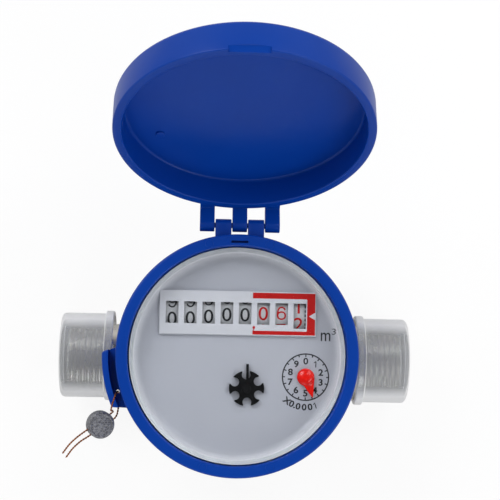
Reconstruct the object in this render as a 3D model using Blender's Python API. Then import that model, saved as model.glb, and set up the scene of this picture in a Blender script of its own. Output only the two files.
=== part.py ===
"""Single-jet cold water meter for a 15 mm pipe, with a dry dial and its lid standing open.

The origin is on the flat foot below the chamber. X runs along the pipe to the outlet, Y points to
the lid's hinge and Z up through the dial. Sizes are in metres.
"""

import math

import bmesh
import bpy
from mathutils import Matrix, Vector

MM = 0.001
TURN = 2 * math.pi

# Clearances
FIT = 0.3 * MM
RUNNING_GAP = 0.5 * MM
# How far a cutter runs past the face it opens, and how deep a joined shape sinks into its host
OVERCUT = 1 * MM
SINK = 0.5 * MM
SHARP_ANGLE = math.radians(32)

# Steps round a turned piece
COARSE = 8
SMALL = 12
MEDIUM = 20
LARGE = 28
FINE = 40

# Casting: pipe ends and wet chamber
BODY_LENGTH = 110 * MM
PIPE_Z = 17 * MM
BORE_R = 7.5 * MM
NECK_WALL = 3 * MM
THREAD_WALL = 5.1 * MM
THREAD_LENGTH = 14 * MM
THREAD_CHAMFER = 1 * MM
CHAMBER_R = 24 * MM
CHAMBER_WALL = 3.5 * MM
CHAMBER_FLOOR = 4.5 * MM
CHAMBER_HEIGHT = 20.5 * MM
FOOT_R = 17 * MM
FOOT_HEIGHT = 2 * MM
FOOT_CORNER = 1 * MM
NECK_SINK = 1 * MM
CUP_FILLET = 6 * MM
FLANGE_DROP = 6 * MM
FLANGE_HEIGHT = 4.7 * MM
JET_R = 3 * MM
# The jets run from outside the chamber's wall to well inside it, at these distances from Y
JET_OUT = 9 * MM
JET_IN = 6 * MM
JET_START_Y = 1 * MM
JET_END_Y = -10.5 * MM
BORE_OUT = 7 * MM
STRAINER_X = 37 * MM
STRAINER_THICKNESS = 1.4 * MM
STRAINER_HOLE_R = 1.4 * MM
STRAINER_HOLE_CIRCLE = 4.4 * MM
STRAINER_HOLES = 6

# Impeller, its pivot and the separating plate
IMPELLER_VANES = 8
VANE_THICKNESS = 1.4 * MM
VANE_HEIGHT = 14.5 * MM
VANE_BOTTOM = 7.5 * MM
VANE_GAP = 1.5 * MM
HUB_R = 4.2 * MM
HUB_LAND = 1 * MM
PIVOT_R = 1 * MM
PIVOT_SINK = 2.3 * MM
MAGNET_R = 6.6 * MM
MAGNET_HEIGHT = 3.2 * MM
MAGNET_GAP = 0.8 * MM
GROOVE_LAND = 0.8 * MM
GROOVE_DEPTH = 2.5 * MM
SEAL_SECTION = 2.0 * MM
SEAL_SQUEEZE_ROOM = 0.4 * MM
PLATE_LAND = 0.8 * MM
PLATE_RIM_WIDTH = 4.5 * MM
PLATE_WEB = 1.6 * MM
MEMBRANE = 1 * MM
MAGNET_HEADROOM = 0.4 * MM
DOME_FOOT = 1.5 * MM
DOME_DRAFT = 0.5 * MM

# Shroud ring around the register
SKIRT_WALL = 2.6 * MM
RING_WIDTH = 3.6 * MM
RING_EDGE = 0.5 * MM
RING_TOP = 58.5 * MM
SKIRT_STEP = 4 * MM
SKIRT_BEVEL = 1 * MM
SNAP_DEPTH = 0.6 * MM
SNAP_HEIGHT = 1 * MM
SLOT_DEPTH = 1.5 * MM
SLOT_WIDTH = 0.45 * MM
SLOT_FROM_INNER_EDGE = 1.2 * MM

# Seal lug on the ring, angles seen from above and measured from X
LUG_REACH = 4.3 * MM
LUG_WALL = 1.9 * MM
LUG_HEIGHT = 8 * MM
LUG_BELOW_TOP = 2.5 * MM
LUG_FLOOR = 2 * MM
LUG_ROOT_ANGLES = (math.radians(176), math.radians(207.5))
LUG_TIP_ANGLES = (math.radians(179.5), math.radians(203.4))
LUG_HOLE_ANGLE = math.radians(197.7)
LUG_HOLE_R = 0.9 * MM
LUG_SINK = 1 * MM

# Hinge and lid
HINGE_OUT = 3.1 * MM
HINGE_DOWN = 4.6 * MM
BARREL_R = 2 * MM
KNUCKLE_SINK = 0.8 * MM
ARM_SINK = 0.6 * MM
ARM_CORNER = 1 * MM
PIN_R = 0.85 * MM
MIDDLE_KNUCKLE = 4.6 * MM
RING_KNUCKLE = 5 * MM
OUTER_KNUCKLE = 4.6 * MM
LID_OVERHANG = 1 * MM
LID_WALL = 2.7 * MM
LID_HEIGHT = 10.6 * MM
LID_PLATE = 1.5 * MM
LID_EDGE = 1.5 * MM
LID_OPEN = math.radians(117)
ARM_RISE = 5.7 * MM
NOTCH_WIDTH = 11.8 * MM
NOTCH_DEPTH = 1.9 * MM

# Register can, dial dish and lens
CAN_WALL = 1 * MM
COUNTER_ROOM = 0.46 * MM
CAN_FLOOR = 1 * MM
DIMPLE_DEPTH = 0.6 * MM
DIAL_Z = 50 * MM
DIAL_THICKNESS = 1.2 * MM
DISH_WALL = 1.2 * MM
DISH_FILLET = 2.8 * MM
DISH_RISE = 3.8 * MM
GASKET_HEIGHT = 0.6 * MM
LENS_HEIGHT = 2.2 * MM
LENS_CHAMFER = 0.6 * MM

# Counter: number wheels, panel and windows
WHEELS = 8
WHEEL_PITCH = 5.71 * MM
WHEEL_WIDTH = 4.2 * MM
WHEEL_R = 8.8 * MM
COUNTER_X = -0.55 * MM
COUNTER_Y = 13.3 * MM
PANEL_SIZE = (49 * MM, 13.8 * MM)
PANEL_RISE = 1.2 * MM
PANEL_SKIN = 0.8 * MM
WINDOW_SIZE = (3.95 * MM, 6.85 * MM)
LAST_WINDOW_EXTRA = 1.05 * MM
SHAFT_R = 0.75 * MM
TRANSFER_SHAFT_R = 0.5 * MM
RING_TEETH = 20
TRANSFER_TEETH = 6
RING_GEAR_WIDTH = 0.85 * MM
TRANSFER_WIDTH = 1 * MM
TRANSFER_ANGLE = math.radians(43)
CAM_TOOTH = 0.6 * MM
CAM_WIDTH = 0.5 * MM
BRACKET_WALL = 1 * MM
BRACKET_STRIP = 0.8 * MM
BRACKET_MARGIN = 0.5 * MM
BRACKET_HALF_DEPTH = 2.9 * MM
BRACKET_TOP = 2.7 * MM

# Gear train from the follower magnet to the last number wheel
ARBOR_R = 0.6 * MM
STAR_AT = Vector((3.18 * MM, -10.06 * MM))
POINTER_AT = Vector((21.6 * MM, -6.2 * MM))
PINION_TEETH = 10
STAR_TEETH = 32
WHEEL_GEAR_TEETH = 30
WORM_PINION_TEETH = 15
MIDDLE_MODULE = 0.5 * MM
GEAR_THICKNESS = 1.2 * MM
PINION_THICKNESS = 2.4 * MM
LEVEL_LOW = 32.5 * MM
LEVEL_MIDDLE = 40.2 * MM
LEVEL_HIGH = 43.8 * MM
WORM_TEETH = 20
WORM_MODULE = 0.6 * MM
WORM_R = 1.8 * MM
WORM_LENGTH = 7 * MM
WORM_WHEEL_WIDTH = 1.4 * MM
WORM_WHEEL_OUT = 2.55 * MM
GEAR_PLATE_THICKNESS = 1.2 * MM
GEAR_PLATE_BELOW_DIAL = 1.4 * MM
GEAR_PLATE_BACK_OFF = 0.8 * MM
PILLAR_R = 1.5 * MM
PILLAR_CIRCLE = 27.5 * MM
PILLAR_ANGLES = [math.radians(a) for a in (190, 245, 295)]
TOOTH_SHARE = 0.4

# Flow star and pointer on the dial
STAR_R = 5.5 * MM
STAR_NOTCH_R = 1.3 * MM
STAR_NOTCH_CIRCLE = 4.4 * MM
STAR_POINTS = 6
STAR_THICKNESS = 1 * MM
SPIKE_LENGTH = 7.6 * MM
SPIKE_WIDTH = 0.66 * MM
POINTER_HUB_R = 2.9 * MM
POINTER_TIP = 6.4 * MM
POINTER_ANGLE = math.radians(-72)
POINTER_THICKNESS = 0.8 * MM
POINTER_DOME = 1 * MM
DIAL_GAP = 0.4 * MM

# Thread protectors
CAP_GAP = 1.2 * MM
CAP_FLANGE_WIDTH = 2.8 * MM
CAP_FLANGE_RISE = 0.9 * MM
CAP_WALL = 0.5 * MM
CAP_SLACK = 0.9 * MM
CAP_END_GAP = 1 * MM
CAP_END_WALL = 1.5 * MM
CAP_CORNER = 1.4 * MM

# Lead seal and its wire
SEAL_R = 4.3 * MM
SEAL_THICKNESS = 3.4 * MM
SEAL_EDGE = 0.5 * MM
SEAL_AT = Vector((-42.3, -22.2, 46)) * MM
SEAL_AXIS = Vector((0.385, -0.173, 0.906)).normalized()
WIRE_HEADING = Vector((-0.787, -0.574, 0.2255))
WIRE_R = 0.3 * MM
STRAND_OFFSET = 1 * MM
WIRE_STEP = 1.8 * MM
# The wire's route in millimetres: from one tip through the seal, over the lug's wall, down
# through its hole, back through the seal and on to the other tip
WIRE_ROUTE = [
    (-53.7, -31.3, 46.6), (-51.5, -28.4, 47.9), (-49.1, -26.1, 48), (-46.72, -24.27, 47.48),
    (-42.78, -21.4, 46.36), (-38.85, -18.53, 45.22), (-38.5, -17.9, 47.4), (-38.5, -17.7, 51),
    (-38.5, -17.6, 54.6), (-38.35, -16.9, 56.9), (-37.95, -15.4, 57.6), (-37.4, -13.6, 57.1),
    (-37, -12.3, 55.4), (-36.87, -11.8, 53), (-36.87, -11.77, 50.2), (-36.87, -11.77, 47.6),
    (-37, -12.4, 45.2), (-37.03, -14.5, 43.7), (-36.97, -17.5, 43.6), (-37.88, -20.13, 44.51),
    (-41.82, -23, 45.64), (-45.75, -25.87, 46.77), (-48.3, -27.6, 47.1), (-50.7, -29.9, 46.6),
    (-52.7, -32.6, 45.4),
]

# Worked out from the sizes above
CHAMBER_TOP = CHAMBER_FLOOR + CHAMBER_HEIGHT
CUP_R = CHAMBER_R + CHAMBER_WALL
NECK_R = BORE_R + NECK_WALL
THREAD_R = BORE_R + THREAD_WALL
GROOVE_IN = CHAMBER_R + GROOVE_LAND
GROOVE_OUT = GROOVE_IN + SEAL_SECTION + SEAL_SQUEEZE_ROOM
PLATE_R = GROOVE_OUT + PLATE_LAND
RECESS_R = PLATE_R + FIT
FLANGE_TOP = CHAMBER_TOP + FLANGE_HEIGHT
SKIRT_BOTTOM = PIPE_Z + NECK_R + FIT
CAN_BOTTOM = FLANGE_TOP + FIT
CAN_FLOOR_TOP = CAN_BOTTOM + CAN_FLOOR
DIAL_UNDER = DIAL_Z - DIAL_THICKNESS
PANEL_TOP = DIAL_Z + PANEL_RISE
WHEEL_Z = PANEL_TOP - PANEL_SKIN - FIT - WHEEL_R
DISH_TOP = DIAL_Z + DISH_RISE
FIRST_WHEEL_X = COUNTER_X - (WHEELS - 1) / 2 * WHEEL_PITCH
LAST_WHEEL_X = COUNTER_X + (WHEELS - 1) / 2 * WHEEL_PITCH
TRANSFER_SPACING = WHEEL_R + FIT + TRANSFER_SHAFT_R
CARRY_MODULE = 2 * TRANSFER_SPACING / (RING_TEETH + TRANSFER_TEETH)
TRANSFER_Y = COUNTER_Y + TRANSFER_SPACING * math.sin(TRANSFER_ANGLE)
TRANSFER_Z = WHEEL_Z - TRANSFER_SPACING * math.cos(TRANSFER_ANGLE)
# The counter's bracket, whose corners decide how wide the register, the shroud and the flange are
BRACKET_LEFT = FIRST_WHEEL_X - WHEEL_WIDTH / 2 - FIT - BRACKET_WALL
PINION_END = LAST_WHEEL_X + WHEEL_WIDTH / 2 + FIT + BRACKET_WALL
WORM_WHEEL_END = LAST_WHEEL_X + WHEEL_WIDTH / 2 + WORM_WHEEL_OUT + WORM_WHEEL_WIDTH / 2
BRACKET_RIGHT = WORM_WHEEL_END + FIT + BRACKET_WALL
STRIP_BACK = COUNTER_Y + BRACKET_HALF_DEPTH
BRACKET_BACK = TRANSFER_Y + TRANSFER_SHAFT_R + FIT + BRACKET_MARGIN
BRACKET_REACH = max(
    math.hypot(BRACKET_LEFT, BRACKET_BACK),
    math.hypot(PINION_END, BRACKET_BACK),
    math.hypot(BRACKET_RIGHT, STRIP_BACK),
)
CAN_R = BRACKET_REACH + COUNTER_ROOM + CAN_WALL
RING_IN = CAN_R + RUNNING_GAP
RING_R = RING_IN + RING_WIDTH
SKIRT_IN = RING_R - SKIRT_WALL
FLANGE_R = SKIRT_IN - FIT
CAP_START = RING_R + CAP_GAP
ARBOR_BOTTOM = CAN_FLOOR_TOP - DIMPLE_DEPTH + FIT
GEAR_PLATE_TOP = DIAL_UNDER - GEAR_PLATE_BELOW_DIAL
HINGE_AT = Vector((0, RING_R + HINGE_OUT, RING_TOP - HINGE_DOWN))
LID_R = RING_R + LID_OVERHANG
LID_RIM = RING_TOP + FIT
LID_TOP = LID_RIM + LID_HEIGHT


def clear_scene():
    for old in list(bpy.data.objects):
        bpy.data.objects.remove(old, do_unlink=True)


def finish(name, colour, roughness, metallic=0.0, alpha=1.0):
    """A Principled material from an sRGB hex colour."""
    channels = [int(colour[i : i + 2], 16) / 255 for i in (0, 2, 4)]
    linear = [c / 12.92 if c <= 0.04045 else ((c + 0.055) / 1.055) ** 2.4 for c in channels]
    made = bpy.data.materials.new(name)
    made.use_nodes = True
    shader = made.node_tree.nodes["Principled BSDF"]
    shader.inputs["Base Color"].default_value = (*linear, 1)
    shader.inputs["Roughness"].default_value = roughness
    shader.inputs["Metallic"].default_value = metallic
    shader.inputs["Alpha"].default_value = alpha
    return made


# Turning a shape about X: its own axis Z becomes X and its own X becomes Y
ALONG_X = Matrix(((0, 0, 1, 0), (1, 0, 0, 0), (0, 1, 0, 0), (0, 0, 0, 1)))


def arc(centre, radius, start, end, steps):
    """Points on a circle from one angle to another, both ends included."""
    angles = [start + (end - start) * i / steps for i in range(steps + 1)]
    return [
        (centre[0] + radius * math.cos(a), centre[1] + radius * math.sin(a)) for a in angles
    ]


def turned(profile, steps, frame=Matrix()):
    """A solid of revolution about Z from (radius, height) points, moved by frame."""
    bm = bmesh.new()
    points = [bm.verts.new((r, 0, z)) for r, z in profile]
    pairs = list(zip(points, points[1:]))
    if profile[0][0] > 0 or profile[-1][0] > 0:
        pairs.append((points[-1], points[0]))
    edges = [bm.edges.new(pair) for pair in pairs]
    bmesh.ops.spin(
        bm, geom=points + edges, cent=(0, 0, 0), axis=(0, 0, 1), angle=TURN, steps=steps,
        use_merge=True,
    )
    bmesh.ops.remove_doubles(bm, verts=bm.verts, dist=0.000001)
    bmesh.ops.transform(bm, matrix=frame, verts=bm.verts)
    bmesh.ops.recalc_face_normals(bm, faces=bm.faces)
    return bm


def rod(radius, low, high, steps, frame=Matrix()):
    return turned([(0, low), (radius, low), (radius, high), (0, high)], steps, frame)


def slab(outline, low, high, frame=Matrix()):
    """A flat outline in XY raised from one height to another, moved by frame."""
    bm = bmesh.new()
    face = bm.faces.new([bm.verts.new((x, y, low)) for x, y in outline])
    raised = bmesh.ops.extrude_face_region(bm, geom=[face])["geom"]
    top = [v for v in raised if isinstance(v, bmesh.types.BMVert)]
    bmesh.ops.translate(bm, verts=top, vec=(0, 0, high - low))
    bmesh.ops.transform(bm, matrix=frame, verts=bm.verts)
    bmesh.ops.recalc_face_normals(bm, faces=bm.faces)
    return bm


def block(low, high, frame=Matrix()):
    corners = [(low[0], low[1]), (high[0], low[1]), (high[0], high[1]), (low[0], high[1])]
    return slab(corners, low[2], high[2], frame)


def piece(name, bm, material, at=(0, 0, 0), turn=(0, 0, 0)):
    """An object that is one sub-part, with its origin at the given place."""
    mesh = bpy.data.meshes.new(name)
    bm.to_mesh(mesh)
    bm.free()
    mesh.shade_smooth()
    mesh.set_sharp_from_angle(angle=SHARP_ANGLE)
    if material:
        mesh.materials.append(material)
    made = bpy.data.objects.new(name, mesh)
    made.location = at
    made.rotation_euler = turn
    bpy.context.collection.objects.link(made)
    return made


def combine(target, operation, bm):
    """Joins a shape to a sub-part or cuts it away; the shape stays as a hidden tool."""
    tool = piece(f"{target.name}_tool_{len(target.modifiers) + 1}", bm, None)
    tool.parent = target
    tool.hide_render = True
    tool.display_type = "WIRE"
    step = target.modifiers.new(tool.name, "BOOLEAN")
    step.operation = operation
    step.solver = "EXACT"
    step.object = tool


def join(target, bm):
    combine(target, "UNION", bm)


def cut(target, bm):
    combine(target, "DIFFERENCE", bm)


def gear_outline(teeth, module, phase=0.0, share=TOOTH_SHARE):
    """Straight-flanked teeth: the first is centred on the phase angle."""
    pitch_r = teeth * module / 2
    tip_r = pitch_r + 0.8 * module
    root_r = pitch_r - 1.15 * module
    half_step = math.pi / teeth
    tip_half = half_step * (share - 0.14)
    root_half = half_step * (share + 0.22)
    outline = []
    for tooth in range(teeth):
        middle = phase + tooth * 2 * half_step
        for radius, offset in (
            (root_r, -root_half), (tip_r, -tip_half), (tip_r, tip_half), (root_r, root_half)
        ):
            angle = middle + offset
            outline.append((radius * math.cos(angle), radius * math.sin(angle)))
    return outline


def gear(teeth, module, low, high, phase=0.0):
    return slab(gear_outline(teeth, module, phase), low, high)


def meshed_phase(phase, teeth, other_teeth, heading):
    """Phase of a gear that meshes with one at phase, along heading from that one to it."""
    passed = (heading - phase) * teeth / TURN
    return heading + math.pi + (passed + 0.5) * TURN / other_teeth


def heading_to(start, end):
    return math.atan2(end.y - start.y, end.x - start.x)


def meeting_point(a, radius_a, b, radius_b):
    """The point at both distances, on the right-hand side when looking from a to b."""
    line = b - a
    along = (radius_a**2 - radius_b**2 + line.length**2) / (2 * line.length)
    aside = math.sqrt(radius_a**2 - along**2)
    unit = line.normalized()
    return a + unit * along + Vector((unit.y, -unit.x)) * aside


def polar(radius, angle):
    return (radius * math.cos(angle), radius * math.sin(angle))


def pipe_frame(side):
    """Moves a shape turned about Z onto the pipe's axis, towards the given side of X."""
    return Matrix.Translation((0, 0, PIPE_Z)) @ Matrix.Scale(side, 4, (1, 0, 0)) @ ALONG_X


def make_body(brass):
    """The casting: cup, flange and both threaded necks, cored in one go."""
    fillet = arc((CUP_R - CUP_FILLET, FOOT_HEIGHT + CUP_FILLET), CUP_FILLET, -math.pi / 2, 0, 3)
    flare = CHAMBER_TOP - FLANGE_DROP
    groove_low = FLANGE_TOP - FIT - SNAP_HEIGHT - SNAP_HEIGHT / 2
    outside = [
        (0, 0),
        (FOOT_R - FOOT_CORNER, 0),
        (FOOT_R, FOOT_CORNER),
        (FOOT_R, FOOT_HEIGHT),
        *fillet,
        (CUP_R, flare),
        ((CUP_R + FLANGE_R) / 2, CHAMBER_TOP - FLANGE_DROP / 4),
        (FLANGE_R, CHAMBER_TOP),
        (FLANGE_R, groove_low),
        (FLANGE_R - SNAP_DEPTH, groove_low),
        (FLANGE_R - SNAP_DEPTH, groove_low + SNAP_HEIGHT),
        (FLANGE_R, groove_low + SNAP_HEIGHT),
        (FLANGE_R, FLANGE_TOP),
        (0, FLANGE_TOP),
    ]
    body = piece("meter_body", turned(outside, LARGE), brass)
    end = BODY_LENGTH / 2
    start = CHAMBER_R + NECK_SINK
    neck = [
        (0, start),
        (NECK_R, start),
        (NECK_R, end - THREAD_LENGTH),
        (THREAD_R, end - THREAD_LENGTH),
        (THREAD_R, end - THREAD_CHAMFER),
        (THREAD_R - THREAD_CHAMFER, end),
        (0, end),
    ]
    for side in (-1, 1):
        join(body, turned(neck, MEDIUM, pipe_frame(side)))
    inside = [
        (0, CHAMBER_FLOOR - PIVOT_SINK),
        (PIVOT_R + FIT, CHAMBER_FLOOR - PIVOT_SINK),
        (PIVOT_R + FIT, CHAMBER_FLOOR),
        (CHAMBER_R, CHAMBER_FLOOR),
        (CHAMBER_R, CHAMBER_TOP),
        (GROOVE_IN, CHAMBER_TOP),
        (GROOVE_IN, CHAMBER_TOP - GROOVE_DEPTH),
        (GROOVE_OUT, CHAMBER_TOP - GROOVE_DEPTH),
        (GROOVE_OUT, CHAMBER_TOP),
        (RECESS_R, CHAMBER_TOP),
        (RECESS_R, FLANGE_TOP + OVERCUT),
        (0, FLANGE_TOP + OVERCUT),
    ]
    cut(body, turned(inside, LARGE))
    for side in (-1, 1):
        cut(body, rod(BORE_R, CHAMBER_R + BORE_OUT, end + OVERCUT, MEDIUM, pipe_frame(side)))
        way = Vector((-side * (JET_OUT + JET_IN), JET_END_Y - JET_START_Y, 0))
        turn = Vector((0, 0, 1)).rotation_difference(way).to_matrix().to_4x4()
        jet_start = (side * (CHAMBER_R + JET_OUT), JET_START_Y, PIPE_Z)
        place = Matrix.Translation(jet_start) @ turn
        cut(body, rod(JET_R, 0, way.length, SMALL, place))


def make_strainer(white):
    """A moulded disc with round holes, pressed into the inlet bore."""
    low = STRAINER_X
    high = STRAINER_X + STRAINER_THICKNESS
    strainer = piece("inlet_strainer", rod(BORE_R - FIT, low, high, MEDIUM, pipe_frame(-1)), white)
    holes = [(0, 0)]
    for i in range(STRAINER_HOLES):
        holes.append(polar(STRAINER_HOLE_CIRCLE, i * TURN / STRAINER_HOLES))
    for x, y in holes:
        place = pipe_frame(-1) @ Matrix.Translation((x, y, 0))
        cut(strainer, rod(STRAINER_HOLE_R, low - OVERCUT, high + OVERCUT, COARSE, place))


def make_impeller(white, magnet, steel):
    """Straight radial vanes on a hub that turns on a fixed steel pivot."""
    vane_r = CHAMBER_R - VANE_GAP
    vane_half = VANE_THICKNESS / 2
    outline = []
    for i in range(IMPELLER_VANES):
        spoke = Matrix.Rotation(i * TURN / IMPELLER_VANES, 2)
        root = HUB_R * 0.9
        for x, y in (
            (root, -vane_half), (vane_r, -vane_half), (vane_r, vane_half), (root, vane_half)
        ):
            outline.append(tuple(spoke @ Vector((x, y))))
    impeller = piece("impeller", slab(outline, VANE_BOTTOM, VANE_BOTTOM + VANE_HEIGHT), white)
    magnet_low = CHAMBER_TOP
    hub_top = magnet_low - FIT
    hub = [
        (0, VANE_BOTTOM - HUB_LAND),
        (HUB_R, VANE_BOTTOM - HUB_LAND),
        (HUB_R, VANE_BOTTOM + VANE_HEIGHT),
        (MAGNET_R, hub_top - HUB_LAND),
        (MAGNET_R, hub_top),
        (0, hub_top),
    ]
    join(impeller, turned(hub, MEDIUM))
    bore_top = VANE_BOTTOM + VANE_HEIGHT
    cut(impeller, rod(PIVOT_R + FIT, 0, bore_top, COARSE))
    disc = [
        (0, magnet_low),
        (MAGNET_R, magnet_low),
        (MAGNET_R, magnet_low + MAGNET_HEIGHT),
        (0, magnet_low + MAGNET_HEIGHT),
    ]
    piece("impeller_magnet", turned(disc, MEDIUM), magnet)
    pivot_bottom = CHAMBER_FLOOR - PIVOT_SINK + FIT
    piece("impeller_shaft", rod(PIVOT_R, pivot_bottom, bore_top - FIT, SMALL), steel)


def make_separating_plate(plastic, rubber):
    """The dry side's floor: a rimmed disc with a pocket for the drive magnet, on an O-ring."""
    low = CHAMBER_TOP + FIT
    web_top = low + PLATE_WEB
    rim_top = FLANGE_TOP - SINK
    dome_r = MAGNET_R + MAGNET_GAP
    pocket_top = CHAMBER_TOP + MAGNET_HEIGHT + MAGNET_HEADROOM
    dome_top = pocket_top + MEMBRANE
    profile = [
        (0, pocket_top),
        (dome_r, pocket_top),
        (dome_r, low),
        (PLATE_R, low),
        (PLATE_R, rim_top),
        (PLATE_R - PLATE_RIM_WIDTH, rim_top),
        (PLATE_R - PLATE_RIM_WIDTH, web_top),
        (dome_r + DOME_FOOT, web_top),
        (dome_r + DOME_FOOT - DOME_DRAFT, dome_top),
        (0, dome_top),
    ]
    piece("separating_plate", turned(profile, LARGE), plastic)
    section = SEAL_SECTION / 2
    middle = (GROOVE_IN + GROOVE_OUT) / 2
    height = CHAMBER_TOP - GROOVE_DEPTH + FIT + section
    ring = arc((middle, height), section, 0, TURN, 6)[:-1]
    piece("chamber_seal", turned(ring, LARGE), rubber)


def make_register_can(plastic, arbors):
    """The closed floor and wall under the dial, with a dimple for each arbor."""
    wall_top = DIAL_UNDER - FIT
    profile = [
        (0, CAN_BOTTOM),
        (CAN_R, CAN_BOTTOM),
        (CAN_R, wall_top),
        (CAN_R - CAN_WALL, wall_top),
        (CAN_R - CAN_WALL, CAN_FLOOR_TOP),
        (0, CAN_FLOOR_TOP),
    ]
    can = piece("register_can", turned(profile, LARGE), plastic)
    for spot in arbors:
        place = Matrix.Translation((spot.x, spot.y, CAN_FLOOR_TOP))
        cut(can, rod(ARBOR_R + FIT, -DIMPLE_DEPTH, OVERCUT, COARSE, place))


def make_gear_plate(plastic, arbors, worm_at):
    """Upper bearing plate: the part of a disc in front of the counter, on three pillars."""
    low = GEAR_PLATE_TOP - GEAR_PLATE_THICKNESS
    radius = CAN_R - CAN_WALL - FIT
    edge_y = COUNTER_Y - WHEEL_R - GEAR_PLATE_BACK_OFF
    edge_angle = math.asin(edge_y / radius)
    outline = arc((0, 0), radius, math.pi - edge_angle, TURN + edge_angle, LARGE // 2)
    plate = piece("gear_plate", slab(outline, low, GEAR_PLATE_TOP), plastic)
    ear = Matrix.Translation((worm_at.x, worm_at.y, 0))
    join(plate, rod(4 * ARBOR_R, low, GEAR_PLATE_TOP, SMALL, ear))
    for angle in PILLAR_ANGLES:
        place = Matrix.Translation((*polar(PILLAR_CIRCLE, angle), 0))
        join(plate, rod(PILLAR_R, CAN_FLOOR_TOP + FIT, low + SINK, COARSE, place))
    for spot in arbors:
        place = Matrix.Translation((spot.x, spot.y, 0))
        cut(plate, rod(ARBOR_R + FIT, low - OVERCUT, GEAR_PLATE_TOP + OVERCUT, COARSE, place))


def make_worm(low, high):
    """A left-hand single thread, with its crest facing the worm wheel at mid height."""
    pitch = math.pi * WORM_MODULE
    around = 10
    rows = round(8 * (high - low) / pitch) + 1
    crest = WORM_R + 0.8 * WORM_MODULE
    root = WORM_R - 1.1 * WORM_MODULE
    middle = (low + high) / 2
    flank = (0.14, 0.30)
    bm = bmesh.new()
    rings = []
    for row in range(rows):
        z = low + (high - low) * row / (rows - 1)
        ring = []
        for step in range(around):
            angle = step * TURN / around
            turns = (z - middle) / pitch + (angle - math.pi / 2) / TURN
            away = abs(turns - round(turns))
            rise = min(1, max(0, (flank[1] - away) / (flank[1] - flank[0])))
            if row in (0, rows - 1):
                rise = 0
            ring.append(bm.verts.new((*polar(root + (crest - root) * rise, angle), z)))
        rings.append(ring)
    for lower, upper in zip(rings, rings[1:]):
        for i in range(around):
            j = (i + 1) % around
            bm.faces.new((lower[i], lower[j], upper[j], upper[i]))
    bm.faces.new(rings[0])
    bm.faces.new(rings[-1])
    bmesh.ops.recalc_face_normals(bm, faces=bm.faces)
    return bm


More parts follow.
